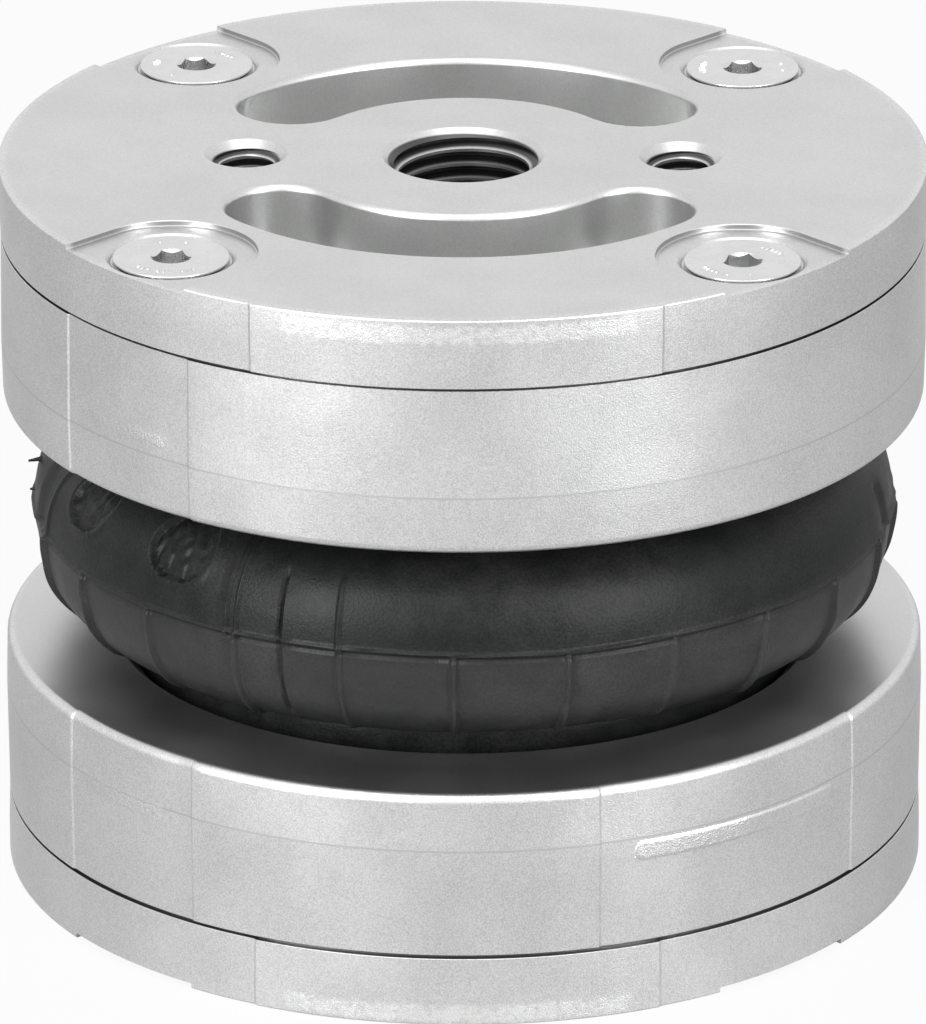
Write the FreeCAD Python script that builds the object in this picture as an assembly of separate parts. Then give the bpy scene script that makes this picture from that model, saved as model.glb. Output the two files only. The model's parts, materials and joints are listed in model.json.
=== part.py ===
"""Air bellows actuator with one convolution between two clamped end plates of 80 mm.

Each end is a cast cover, a clamp ring and four countersunk screws, which grip one bead of the rubber bellows.
An end is drawn once, as the lower one, with its outer face at height 0 and the bellows above it. The upper end is
the same set of castings turned over. The origin is the centre of the underside, with +Z up and the front at -Y.
All sizes are in millimetres and all angles in degrees.
"""

import FreeCAD, Part
import math
import os

Vector = FreeCAD.Vector
up = Vector(0, 0, 1)

# Plates, rings and the gap between them at rest
plate_radius = 40.0
cover_rim_thickness = 6.35
ring_height = 14.7
ring_gap = 21.9
rim_chamfer = 0.3
seam_chamfer = 0.2
ring_edge_rounding = 1.5

# Centre of the cover, whose spigot reaches into the mouth of the bellows
cover_centre_thickness = 12.4
spigot_wall = 1.8
spigot_chamfer = 1.0

# Air port, tapped G1/4, at its full thread diameter
port_radius = 6.58
port_mouth_radius = 6.95

# Two tapped M6 mounting holes on a line through the port, at their full thread diameter
mount_hole_radius = 3.0
mount_hole_offset = 18.7
mount_hole_depth = 9.0
mount_hole_mouth_radius = 3.6

# Two kidney pockets round the port, with the spigot's wall outside them
kidney_inner_radius = 14.9
kidney_half_angle = 50.0
kidney_depth = 8.8
kidney_floor_rounding = 1.5
kidney_mouth_chamfer = 0.4

# M5 countersunk screws with a hexagon socket, and the pockets that their heads sit in
screw_count = 4
screw_to_edge = 6.0
first_screw_angle = 45.0
screw_length = 16.0
screw_thread_radius = 2.5
screw_fit = 0.05
screw_head_radius = 4.95
screw_head_land = 0.15
screw_tip_chamfer = 0.6
socket_across_flats = 3.0
socket_depth = 2.2
screw_clearance_radius = 2.75
countersink_radius = 5.55
screw_pocket_radius = 7.35
screw_pocket_depth = 0.5
tapped_depth = 12.0
tapped_mouth_chamfer = 0.6

# Clamp ring: the seat of the bead inside its screws, the lip that holds the bead and the chamfered throat
screw_to_bead_wall = 1.0
bead_seat_depth = 5.0
lip_reach = 1.3
lip_chamfer = 0.7
throat_chamfer = 1.5

# Faint steps that the casting dies leave round the sides
casting_step = 0.15
side_draft = 0.1
panel_root = 2.0
cover_panels = [(-114.7, -64.3)]
upper_ring_panels = [(-145.3, -124.0)]
lower_ring_panels = [(-146.0, -123.6), (-71.0, -31.0)]
ring_parting = 9.6

# Bellows: its outer skin is arcs that run into each other, mirrored about the middle of the gap
belly_inset = 2.3
belly_curve = 14.0
shoulder_curve = 7.5
convolution_half_height = 8.8
outer_cover_thickness = 1.0
fabric_ply_thickness = 0.5
inner_liner_thickness = 0.7
rubber_clearance = 0.3
bead_corner = 0.8
mould_rib_height = 0.35
mould_rib_width = 0.9
bead_core_radius = 0.7
bead_core_clearance = 0.15

# A cutter starts this far outside the face that it enters, and places nearer than the last value are one place
overcut = 1.0
drill_point_angle = 118.0
same_place = 0.001

# Worked out from the sizes above
ring_top = cover_rim_thickness + ring_height
overall_height = 2 * ring_top + ring_gap
middle = overall_height / 2
screw_circle_radius = plate_radius - screw_to_edge
belly_radius = plate_radius - belly_inset
bead_seat_radius = screw_circle_radius - screw_thread_radius - screw_to_bead_wall
bead_radius = bead_seat_radius - rubber_clearance
lip_radius = bead_seat_radius - lip_reach
neck_radius = lip_radius - rubber_clearance
wall_thickness = outer_cover_thickness + fabric_ply_thickness + inner_liner_thickness
spigot_radius = neck_radius - wall_thickness - rubber_clearance
kidney_outer_radius = spigot_radius - spigot_wall
bead_low = cover_rim_thickness + rubber_clearance
bead_high = cover_rim_thickness + bead_seat_depth - rubber_clearance
head_top = screw_pocket_depth + countersink_radius - screw_head_radius - screw_head_land - screw_fit


def at(radius, height):
    """A point of a turned profile."""
    return Vector(radius, 0, height)


def on_circle(centre, radius, angle):
    """The point of a circle in the profile's plane, with the angle counted from outwards to upwards."""
    turn = math.radians(angle)
    return centre + Vector(radius * math.cos(turn), 0, radius * math.sin(turn))


def bend(centre, radius, first, last):
    """The through point and end point of an arc that starts at the angle first."""
    return on_circle(centre, radius, (first + last) / 2), on_circle(centre, radius, last)


def edges_along(start, steps):
    """Edges from start: a step is a point for a straight run, or a (through, end) pair for an arc."""
    edges = []
    here = start
    for step in steps:
        if isinstance(step, tuple):
            through, there = step
            edges.append(Part.Arc(here, through, there).toShape())
        else:
            there = step
            edges.append(Part.makeLine(here, there))
        here = there
    return edges


def turned(start, steps, first_angle=0.0, sweep=360.0):
    """The solid that the closed profile makes when it turns about the axis."""
    face = Part.Face(Part.Wire(edges_along(start, steps + [start])))
    solid = face.revolve(Vector(0, 0, 0), up, sweep)
    solid.rotate(Vector(0, 0, 0), up, first_angle)
    return solid


def placed(shape, radius, angle):
    """A copy of a shape drawn on the axis, moved out to the radius and turned to the angle."""
    copy = shape.copy()
    copy.translate(Vector(radius, 0, 0))
    copy.rotate(Vector(0, 0, 0), up, angle)
    return copy


def screw_angles():
    return [first_screw_angle + 360.0 * i / screw_count for i in range(screw_count)]


def turned_over(shape):
    """The same piece at the upper end."""
    copy = shape.copy()
    copy.rotate(Vector(0, 0, middle), Vector(0, 1, 0), 180)
    return copy


def angles_turned_over(panels):
    """The angles that a piece must carry so that turning it over brings them where they are wanted."""
    return [(180.0 - last, 180.0 - first) for first, last in panels]


def drilled(radius, mouth_radius, depth):
    """Cutter for a blind hole with a chamfered mouth at height 0 and the drill's point at its end."""
    point_length = radius / math.tan(math.radians(drill_point_angle / 2))
    chamfer = mouth_radius - radius
    return turned(at(0, -overcut), [
        at(mouth_radius, -overcut),
        at(mouth_radius, 0),
        at(radius, chamfer),
        at(radius, depth),
        at(0, depth + point_length),
    ])


def cover_skin(proud):
    """The cover's outer edge, from its outer face round to the seam with the clamp ring."""
    radius = plate_radius + proud
    return [
        at(radius - rim_chamfer, 0),
        at(radius, rim_chamfer),
        at(radius, cover_rim_thickness - seam_chamfer),
        at(radius - seam_chamfer, cover_rim_thickness),
    ]


def ring_skin(proud):
    """The clamp ring's outer edge, from the seam up to its rounded edge at the gap."""
    radius = plate_radius + proud
    low = radius - side_draft
    centre = at(low - ring_edge_rounding, ring_top - ring_edge_rounding)
    return [
        at(low - seam_chamfer, cover_rim_thickness),
        at(low, cover_rim_thickness + seam_chamfer),
        at(radius, cover_rim_thickness + ring_parting),
        on_circle(centre, ring_edge_rounding, 0),
        bend(centre, ring_edge_rounding, 0, 90),
    ]


def with_panels(body, skin, low, high, panels):
    """The casting with its raised side panels, each a sector of the proud skin rooted inside the rim."""
    root = plate_radius - panel_root
    for first, last in panels:
        panel = turned(at(root, low), skin + [at(root, high)], first, last - first)
        body = body.fuse(panel)
    return body.removeSplitter()


def kidney_cutter():
    """Cutter for one curved pocket centred on the +X direction, with a rounded floor."""
    half = math.radians(kidney_half_angle)
    centre_radius = (kidney_inner_radius + kidney_outer_radius) / 2
    end_radius = (kidney_outer_radius - kidney_inner_radius) / 2
    cap = half + end_radius / centre_radius

    def spot(radius, turn):
        return Vector(radius * math.cos(turn), radius * math.sin(turn), -overcut)

    def cap_top(turn, side):
        out = Vector(-math.sin(turn), math.cos(turn), 0) * side * end_radius
        return spot(centre_radius, turn) + out

    edges = [
        Part.Arc(spot(kidney_outer_radius, -half), spot(kidney_outer_radius, 0),
                 spot(kidney_outer_radius, half)).toShape(),
        Part.Arc(spot(kidney_outer_radius, half), cap_top(half, 1),
                 spot(kidney_inner_radius, half)).toShape(),
        Part.Arc(spot(kidney_inner_radius, half), spot(kidney_inner_radius, 0),
                 spot(kidney_inner_radius, -half)).toShape(),
        Part.Arc(spot(kidney_inner_radius, -half), cap_top(-half, -1),
                 spot(kidney_outer_radius, -half)).toShape(),
    ]
    slot = Part.Face(Part.Wire(edges)).extrude(up * (kidney_depth + overcut))
    floor = [e for e in slot.Edges if abs(e.BoundBox.ZMin - kidney_depth) < same_place]
    return slot.makeFillet(kidney_floor_rounding, floor)


def chamfered_kidney_mouths(cover):
    """The cover with the mouths of its kidney pockets chamfered."""
    mouths = []
    for edge in cover.Edges:
        box = edge.BoundBox
        on_face = abs(box.ZMin) < same_place and abs(box.ZMax) < same_place
        first, last = edge.ParameterRange
        spots = [edge.valueAt(first), edge.valueAt((first + last) / 2), edge.valueAt(last)]
        reach = [math.hypot(p.x, p.y) for p in spots]
        clear_inside = min(reach) > kidney_inner_radius - same_place
        clear_outside = max(reach) < kidney_outer_radius + same_place
        off_axis = min(abs(p.y) for p in spots) > mount_hole_mouth_radius
        if on_face and clear_inside and clear_outside and off_axis:
            mouths.append(edge)
    return cover.makeChamfer(kidney_mouth_chamfer, mouths)


def screw_cutter():
    """Cutter for a screw's open pocket, countersink and clearance hole, drawn with the screw on the axis."""
    reach = plate_radius - screw_circle_radius + overcut
    depth = screw_pocket_depth + overcut
    pocket = Part.makeCylinder(screw_pocket_radius, depth, Vector(0, 0, -overcut))
    way_out = Part.makeBox(reach, 2 * screw_pocket_radius, depth, Vector(0, -screw_pocket_radius, -overcut))
    sink = turned(at(0, 0), [
        at(countersink_radius, 0),
        at(countersink_radius, screw_pocket_depth),
        at(screw_clearance_radius, screw_pocket_depth + countersink_radius - screw_clearance_radius),
        at(screw_clearance_radius, cover_rim_thickness + overcut),
        at(0, cover_rim_thickness + overcut),
    ])
    return pocket.fuse(way_out).fuse(sink)


def make_cover(has_port, panels):
    """One cover plate, drawn as the lower one."""
    cover = turned(at(0, 0), cover_skin(0.0) + [
        at(spigot_radius, cover_rim_thickness),
        at(spigot_radius, cover_centre_thickness - spigot_chamfer),
        at(spigot_radius - spigot_chamfer, cover_centre_thickness),
        at(0, cover_centre_thickness),
    ])
    cover = with_panels(cover, cover_skin(casting_step), 0.0, cover_rim_thickness, panels)
    for angle in (90.0, -90.0):
        cover = cover.cut(placed(kidney_cutter(), 0.0, angle))
    mount_hole = drilled(mount_hole_radius, mount_hole_mouth_radius, mount_hole_depth)
    for angle in (0.0, 180.0):
        cover = cover.cut(placed(mount_hole, mount_hole_offset, angle))
    cover = chamfered_kidney_mouths(cover)
    for angle in screw_angles():
        cover = cover.cut(placed(screw_cutter(), screw_circle_radius, angle))
    if has_port:
        cover = cover.cut(drilled(port_radius, port_mouth_radius, cover_centre_thickness + overcut))
    return cover


def make_clamp_ring(panels):
    """One clamp ring, drawn as the lower one."""
    seat_end = cover_rim_thickness + bead_seat_depth
    ring = turned(at(bead_seat_radius, cover_rim_thickness), ring_skin(0.0) + [
        at(lip_radius + throat_chamfer, ring_top),
        at(lip_radius, ring_top - throat_chamfer),
        at(lip_radius, seat_end + lip_chamfer),
        at(lip_radius + lip_chamfer, seat_end),
        at(bead_seat_radius, seat_end),
    ])
    ring = with_panels(ring, ring_skin(casting_step), cover_rim_thickness, ring_top, panels)
    hole = drilled(screw_thread_radius, screw_thread_radius + tapped_mouth_chamfer, tapped_depth)
    hole.translate(Vector(0, 0, cover_rim_thickness))
    for angle in screw_angles():
        ring = ring.cut(placed(hole, screw_circle_radius, angle))
    return ring


def make_screw():
    """One countersunk screw on the axis, with its head down in its countersink and a hexagon socket."""
    shank = screw_thread_radius - screw_fit
    cone_start = head_top + screw_head_land
    tip = head_top + screw_length
    screw = turned(at(0, head_top), [
        at(screw_head_radius, head_top),
        at(screw_head_radius, cone_start),
        at(shank, cone_start + screw_head_radius - shank),
        at(shank, tip - screw_tip_chamfer),
        at(shank - screw_tip_chamfer, tip),
        at(0, tip),
    ])
    corner = socket_across_flats / 2 / math.cos(math.radians(30))
    corners = [Vector(corner * math.cos(math.radians(60 * i)), corner * math.sin(math.radians(60 * i)),
                      head_top - overcut) for i in range(7)]
    socket = Part.Face(Part.makePolygon(corners)).extrude(up * (socket_depth + overcut))
    return screw.cut(socket)


def skin_path(depth):
    """The bellows' outer skin moved inwards by a depth, from its lower end to its upper end."""
    belly_centre = belly_radius - belly_curve
    shoulder_rise = convolution_half_height - shoulder_curve
    shoulder_out = math.sqrt((belly_curve - shoulder_curve) ** 2 - shoulder_rise ** 2)
    shoulder_radius = belly_centre + shoulder_out
    foot_curve = shoulder_radius - neck_radius
    foot_rise = convolution_half_height + foot_curve
    meet = math.degrees(math.atan2(shoulder_rise, shoulder_out))
    low_foot = at(shoulder_radius, middle - foot_rise)
    low_shoulder = at(shoulder_radius, middle - shoulder_rise)
    high_shoulder = at(shoulder_radius, middle + shoulder_rise)
    high_foot = at(shoulder_radius, middle + foot_rise)
    halfway = (90 + meet) / 2
    neck = neck_radius - depth
    return [
        at(neck, bead_low),
        at(neck, middle - foot_rise),
        bend(low_foot, foot_curve + depth, 180, 90),
        bend(low_shoulder, shoulder_curve - depth, -90, -halfway),
        bend(low_shoulder, shoulder_curve - depth, -halfway, -meet),
        bend(at(belly_centre, middle), belly_curve - depth, -meet, meet),
        bend(high_shoulder, shoulder_curve - depth, meet, halfway),
        bend(high_shoulder, shoulder_curve - depth, halfway, 90),
        bend(high_foot, foot_curve + depth, -90, -180),
        at(neck, overall_height - bead_low),
    ]


def facetted(path):
    """The same path with each arc made two straight runs, for the layers that lie hidden in the wall."""
    runs = []
    for step in path:
        runs += list(step) if isinstance(step, tuple) else [step]
    return runs


def bellows_layer(outside, inside):
    """One layer of the bellows wall between two paths that run up its outer and its inner side."""
    edges = edges_along(outside[0], outside[1:])
    edges += edges_along(inside[0], inside[1:])
    edges.append(Part.makeLine(outside[0], inside[0]))
    edges.append(Part.makeLine(outside[-1], inside[-1]))
    face = Part.Face(Part.Wire(Part.__sortEdges__(edges)))
    return face.revolve(Vector(0, 0, 0), up, 360)


def core_circle_radius():
    """The bead wire's ring lies midway through the rubber of the bead."""
    return (bead_radius + neck_radius - outer_cover_thickness) / 2


def core_ring(radius):
    """A ring of bundled wire in the lower bead, six sided in section."""
    centre = at(core_circle_radius(), (bead_low + bead_high) / 2)
    corners = [on_circle(centre, radius, 60 * i) for i in range(6)]
    return turned(corners[0], corners[1:])


def bead():
    """The lower bead of the rubber, with chamfered outer corners."""
    inner = neck_radius - outer_cover_thickness
    return turned(at(inner, bead_low), [
        at(bead_radius - bead_corner, bead_low),
        at(bead_radius, bead_low + bead_corner),
        at(bead_radius, bead_high - bead_corner),
        at(bead_radius - bead_corner, bead_high),
        at(inner, bead_high),
    ])


def mould_rib():
    """The low rib round the belly where the halves of the mould meet."""
    root = belly_radius - outer_cover_thickness / 2
    tip = belly_radius + mould_rib_height
    half = mould_rib_width / 2
    return turned(at(root, middle - half), [
        at(tip - mould_rib_height / 2, middle - half),
        at(tip, middle - half / 2),
        at(tip, middle + half / 2),
        at(tip - mould_rib_height / 2, middle + half),
        at(root, middle + half),
    ])


def make_outer_cover():
    """The rubber outside of the bellows, with its two beads, its rib and the bead wires' channels."""
    channel = core_ring(bead_core_radius + bead_core_clearance)
    skin = bellows_layer(skin_path(0.0), facetted(skin_path(outer_cover_thickness)))
    skin = skin.fuse(bead()).fuse(turned_over(bead())).fuse(mould_rib()).removeSplitter()
    return skin.cut(channel).cut(turned_over(channel))


def save(name, shape):
    """Writes one piece, and prints its volume for a first look at its weight."""
    print(name, round(shape.Volume), "mm3", "valid" if shape.isValid() else "NOT VALID", len(shape.Solids))
    shape.exportStep(os.path.join("parts", name + ".step"))


def main():
    os.makedirs("parts", exist_ok=True)
    save("bottom_cover_plate", make_cover(False, cover_panels))
    save("top_cover_plate", turned_over(make_cover(True, angles_turned_over(cover_panels))))
    save("bottom_clamp_ring", make_clamp_ring(lower_ring_panels))
    save("top_clamp_ring", turned_over(make_clamp_ring(angles_turned_over(upper_ring_panels))))
    screw = make_screw()
    for number, angle in enumerate(screw_angles(), start=1):
        seated = placed(screw, screw_circle_radius, angle)
        save(f"bottom_screw_{number}", seated)
        save(f"top_screw_{number}", turned_over(seated))
    save("bellows_outer_cover", make_outer_cover())
    ply_outside = facetted(skin_path(outer_cover_thickness))
    ply_inside = facetted(skin_path(outer_cover_thickness + fabric_ply_thickness))
    save("bellows_fabric_ply", bellows_layer(ply_outside, ply_inside))
    save("bellows_inner_liner", bellows_layer(ply_inside, facetted(skin_path(wall_thickness))))
    core = core_ring(bead_core_radius)
    save("bottom_bead_core", core)
    save("top_bead_core", turned_over(core))


main()
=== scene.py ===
"""Air bellows actuator: the finished castings, screws and rubber round the packed model.

Pieces are modelled in millimetres with their angles in degrees, and made metres as their last step. An end
of the actuator is modelled once, with its outer face at height 0 looking up, then moved to the top or turned
over to the bottom. The front of the actuator is at -Y, which is the angle -90.
"""

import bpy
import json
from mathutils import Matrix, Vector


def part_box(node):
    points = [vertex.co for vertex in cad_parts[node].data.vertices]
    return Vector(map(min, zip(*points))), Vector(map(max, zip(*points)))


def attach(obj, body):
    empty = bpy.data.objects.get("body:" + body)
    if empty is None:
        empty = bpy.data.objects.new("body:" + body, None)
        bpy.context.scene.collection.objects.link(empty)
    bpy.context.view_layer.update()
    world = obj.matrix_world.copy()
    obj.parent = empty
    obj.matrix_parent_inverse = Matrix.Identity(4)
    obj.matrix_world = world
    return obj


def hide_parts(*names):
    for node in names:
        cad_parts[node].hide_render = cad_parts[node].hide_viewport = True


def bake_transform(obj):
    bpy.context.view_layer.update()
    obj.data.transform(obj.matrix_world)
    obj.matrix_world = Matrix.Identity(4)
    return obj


bl_info = {
    "name": "Air Bellows Actuator",
    "version": (1, 0, 0),
    "blender": (4, 5, 0),
    "location": "3D View > Sidebar > Actuator",
    "description": "Builds the finished pieces of an air bellows actuator round its construction model",
    "category": "Add Mesh",
}

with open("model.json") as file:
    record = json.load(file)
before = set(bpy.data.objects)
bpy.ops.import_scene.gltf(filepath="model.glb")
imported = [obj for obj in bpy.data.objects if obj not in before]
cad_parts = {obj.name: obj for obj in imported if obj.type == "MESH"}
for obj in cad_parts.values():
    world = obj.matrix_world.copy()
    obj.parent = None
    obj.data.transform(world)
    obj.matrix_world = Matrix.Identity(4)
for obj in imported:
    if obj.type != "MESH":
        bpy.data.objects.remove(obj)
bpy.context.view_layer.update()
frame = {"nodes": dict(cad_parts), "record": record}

import json
import math
from types import SimpleNamespace

import bmesh
import bpy
from bpy.props import FloatProperty, FloatVectorProperty, PointerProperty
from bpy.types import Operator, Panel, PropertyGroup
from mathutils import Matrix, Vector, noise

MM = 0.001
ENDS = ("bottom", "top")
SCREW_NUMBERS = range(1, 5)
MERGE = 0.0005  # points nearer than this are one point
REACH_OVER = 1.0  # how far a cutter stands out of what it cuts
DRILL_POINT = 59.0  # half the angle of a drill's point
MOUNTS = {mount["name"]: mount for mount in frame["record"]["mounts"]}
UP = Vector((0, 0, 1))


def node_low(name):
    """The lowest height of a construction piece, in millimetres."""
    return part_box(name)[0].z / MM


def node_high(name):
    """The greatest height of a construction piece, in millimetres."""
    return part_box(name)[1].z / MM


def length(label, millimetres, description):
    """A size that the sidebar shows in the scene's own unit."""
    return FloatProperty(name=label, description=description, default=millimetres * MM, unit="LENGTH",
                         precision=5)


def turn(label, degrees, description):
    """An angle that the sidebar shows in degrees."""
    return FloatProperty(name=label, description=description, default=math.radians(degrees),
                         subtype="ANGLE")


def share(label, value, description):
    """A plain number."""
    return FloatProperty(name=label, description=description, default=value, precision=3)


def tint(label, red, green, blue, description):
    """A colour in linear values."""
    return FloatVectorProperty(name=label, description=description, default=(red, green, blue), size=3,
                               subtype="COLOR", min=0.0, max=1.0)


class CastingSizes(PropertyGroup):
    """Sizes of the cover plates and clamp rings"""

    plate_radius: length("Plate radius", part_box("bottom_cover_plate")[1].x / MM, "Covers' and rings' radius")
    overall: length("Overall height", node_high("top_cover_plate"), "Height over both covers")
    rim_thickness: length("Rim thickness", node_low("bottom_clamp_ring"), "A cover's thickness at its rim")
    ring_top: length("Ring face", node_high("bottom_clamp_ring"), "From the outer face to a ring's face")
    centre_thickness: length("Centre thickness", node_high("bottom_cover_plate"), "At the spigot")
    spigot_radius: length("Spigot radius", 26.4, "Radius of the spigot inside the bellows' mouth")
    spigot_chamfer: length("Spigot chamfer", 1.0, "Chamfer at the spigot's end")
    rim_rounding: length("Rim rounding", 0.18, "Rounding between a cover's face and its side")
    seam_gap: length("Seam gap", 0.24, "Height of the open gap between cover and ring")
    seam_depth: length("Seam depth", 0.6, "Depth of the open gap between cover and ring")
    seam_edge: length("Seam edge", 0.05, "Chamfers on both sides of the gap")
    edge_rounding: length("Ring edge rounding", 0.8, "Rounding of a ring's edge at the rubber")
    draft: length("Draft", 0.1, "How far a cover's or ring's side leans in towards the seam")
    parting: length("Ring parting height", 9.6, "Height of the mould's parting line over the seam")
    parting_width: length("Parting line width", 0.14, "Width of the crease along the parting line")
    parting_depth: length("Parting line depth", 0.014, "Depth of the crease along the parting line")
    step: length("Casting step", 0.17, "How far a panel stands out on a cover or lies back on a ring")
    step_softness: length("Step softness", 0.34, "Width over which a panel's edge rises or falls")
    lean_start: length("Lean start", 2.5, "Depth under a cover's face where its side starts to lean in")
    bead_seat_radius: length("Bead seat radius", 30.5, "Radius of the seat that holds the bead")
    bead_seat_depth: length("Bead seat depth", 5.0, "Depth of the bead's seat")
    lip_radius: length("Lip radius", 29.2, "Radius of the lip that grips the bead")
    lip_chamfer: length("Lip chamfer", 0.7, "Chamfer between the bead's seat and the lip")
    throat_chamfer: length("Throat chamfer", 1.5, "Chamfer of the ring's throat round the rubber")
    screw_circle: length("Screw circle radius", 34.0, "Radius of the circle through the screws")
    tapped_radius: length("Tapped hole radius", 2.5, "Radius of the ring's screw holes")
    tapped_depth: length("Tapped hole depth", 12.0, "Depth of the ring's screw holes")


class OpeningSizes(PropertyGroup):
    """Sizes of the holes and pockets in the covers"""

    port_radius: length("Port radius", MOUNTS["air_port"]["dims"]["r_mm"], "Radius at the thread's roots")
    port_crest: length("Port crest radius", 5.72, "Radius at the crests of the port's thread")
    port_mouth: length("Port mouth radius", 6.95, "Radius of the port's chamfer at the face")
    port_pitch: length("Port pitch", 1.337, "Rise of the port's thread in one turn")
    port_crest_flat: length("Port crest width", 0.25, "Width of a crest of the port's thread")
    hole_radius: length("Hole radius", MOUNTS["top_holes"]["dims"]["hole_r_mm"], "At the thread's roots")
    hole_crest: length("Hole crest radius", 2.46, "Radius at the crests of a mounting hole's thread")
    hole_mouth: length("Hole mouth radius", 3.6, "Radius of a mounting hole's chamfer at the face")
    hole_pitch: length("Hole pitch", 1.0, "Rise of a mounting hole's thread in one turn")
    hole_crest_flat: length("Hole crest width", 0.25, "Width of a crest of a mounting hole's thread")
    hole_offset: length("Hole offset", MOUNTS["top_holes"]["dims"]["spacing_x_mm"] / 2, "From the axis")
    hole_depth: length("Hole depth", 9.0, "Depth of a mounting hole")
    kidney_inner: length("Kidney inner radius", 14.9, "Radius of a kidney pocket's inner wall")
    kidney_outer: length("Kidney outer radius", 24.6, "Radius of a kidney pocket's outer wall")
    kidney_half: turn("Kidney half angle", 50.0, "Half the angle between the centres of a kidney's round ends")
    kidney_depth: length("Kidney depth", 8.8, "Depth of a kidney pocket")
    kidney_mouth: length("Kidney mouth rounding", 0.65, "Rounding of a kidney pocket's mouth")
    kidney_floor: length("Kidney floor rounding", 1.5, "Rounding round a kidney pocket's floor")
    pocket_radius: length("Screw pocket radius", 7.35, "Radius of the flat pocket round a screw")
    pocket_depth: length("Screw pocket depth", 0.5, "Depth of the flat pocket round a screw")
    pocket_edge: length("Screw pocket edge", 0.06, "Worn edge at the pocket's mouth")
    pocket_fillet: length("Screw pocket fillet", 0.13, "Rounding round the pocket's floor")
    sink_radius: length("Countersink radius", 5.55, "Radius of the countersink at the pocket's floor")
    sink_ledge: length("Countersink ledge", 0.42, "Step in the countersink under which the head's cone sits")
    clearance_radius: length("Clearance radius", 2.75, "Radius of the hole that a screw passes through")
    witness_radius: length("Witness ring radius", 10.0, "Radius of the faint turning mark round the port")
    witness_width: length("Witness ring width", 0.24, "Width of the turning mark")
    witness_depth: length("Witness ring depth", 0.015, "Depth of the turning mark")


class ScrewSizes(PropertyGroup):
    """Sizes of the countersunk screws"""

    head_radius: length("Head radius", 4.95, "Radius of a screw's head")
    head_land: length("Head land", 0.15, "Height of the straight band round the head")
    head_edge: length("Head edge", 0.08, "Rounding of the head's upper edge")
    thread_radius: length("Thread radius", 2.45, "Radius over the thread")
    thread_pitch: length("Thread pitch", 0.8, "Rise of the thread in one turn")
    thread_depth: length("Thread depth", 0.4, "Depth of the thread")
    plain_shank: length("Plain shank", 1.2, "Length without thread under the cone")
    screw_length: length("Length", 16.0, "Length from the top of the head to the tip")
    socket_across: length("Socket across flats", 3.0, "Width of the hexagon socket")
    socket_depth: length("Socket depth", 2.2, "Depth of the hexagon socket")
    head_rise: length("Head rise", 0.43, "How far the head stands over the construction model's")
    mark_radius: length("Mark radius", 3.55, "From the screw's axis to the raised marks")
    mark_length: length("Mark length", 0.8, "Length of a raised mark")
    mark_width: length("Mark width", 0.26, "Width of a raised mark")
    mark_height: length("Mark height", 0.12, "How far a mark stands out of the head")


class RubberSizes(PropertyGroup):
    """Sizes of the bellows"""

    belly_radius: length("Belly radius", 37.2, "Greatest radius of the bellows")
    belly_curve: length("Belly curve", 14.0, "Radius of the wall's curve at the belly")
    shoulder_curve: length("Shoulder curve", 7.5, "Radius of the wall's curve over and under the belly")
    half_height: length("Convolution half height", 8.8, "From the middle to the top of the convolution")
    neck_radius: length("Neck radius", 28.9, "Radius of the neck inside a clamp ring")
    bead_radius: length("Bead radius", 30.2, "Radius of a bead")
    bead_corner: length("Bead corner", 0.8, "Chamfer of a bead's corners")
    cover_thickness: length("Cover thickness", 1.0, "Thickness of the outer rubber")
    ply_thickness: length("Ply thickness", 0.5, "Thickness of the fabric ply")
    liner_thickness: length("Liner thickness", 0.7, "Thickness of the inner rubber")
    clearance: length("Clearance", 0.3, "Room between the rubber and the metal at the beads")
    still_neck: length("Still neck", 4.0, "Depth inside a ring at which the rubber begins to stretch")
    bead_height: length("Bead height", 4.4, "Height of a bead")
    rib_height: length("Rib height", 0.42, "Height of the ribs down the lower half")
    rib_width: length("Rib width", 0.85, "Width of the ribs down the lower half")
    rib_spacing: turn("Rib spacing", 15.0, "Angle from rib to rib")
    first_rib: turn("First rib", -90.0, "Angle of the rib at the front")
    parting_rise: length("Parting rib place", 0.75, "Height of the parting rib over the bellows' middle")
    parting_height: length("Parting rib height", 0.3, "Height of the torn rib where the mould parts")
    parting_width: length("Parting rib width", 0.6, "Width of the torn rib where the mould parts")
    upper_step: length("Upper half step", 0.2, "How far the upper half stands over the lower half")
    under_groove: length("Groove depth", 0.16, "Depth of the groove under the torn rib")
    groove_place: length("Groove place", 0.45, "Depth of the groove's middle under the torn rib's")
    groove_width: length("Groove width", 0.5, "Width of the groove under the torn rib")
    rib_start: length("Rib start", 8.6, "Depth under the bellows' middle where the ribs begin")


class FinishColours(PropertyGroup):
    """Colours and finish of the materials"""

    cover_metal: tint("Cover metal", 0.66, 0.665, 0.66, "Bead blasted cast aluminium of the covers")
    ring_metal: tint("Ring metal", 0.655, 0.66, 0.655, "Bead blasted cast aluminium of the clamp rings")
    screw_metal: tint("Screw metal", 0.72, 0.725, 0.72, "Zinc plating of the screws")
    wire_metal: tint("Bead wire", 0.22, 0.2, 0.18, "Steel wire inside the beads")
    rubber: tint("Rubber", 0.006, 0.0065, 0.0065, "Moulded outer rubber")
    # the pale colour of the bloom, which also gives the painted light on the rubber's lower half
    rubber_bloom: tint("Rubber bloom", 0.042, 0.043, 0.042, "Pale bloom on the outer rubber")
    ply: tint("Fabric ply", 0.2, 0.18, 0.15, "Cord fabric in the bellows' wall")
    liner: tint("Liner", 0.03, 0.03, 0.03, "Inner rubber")


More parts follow.
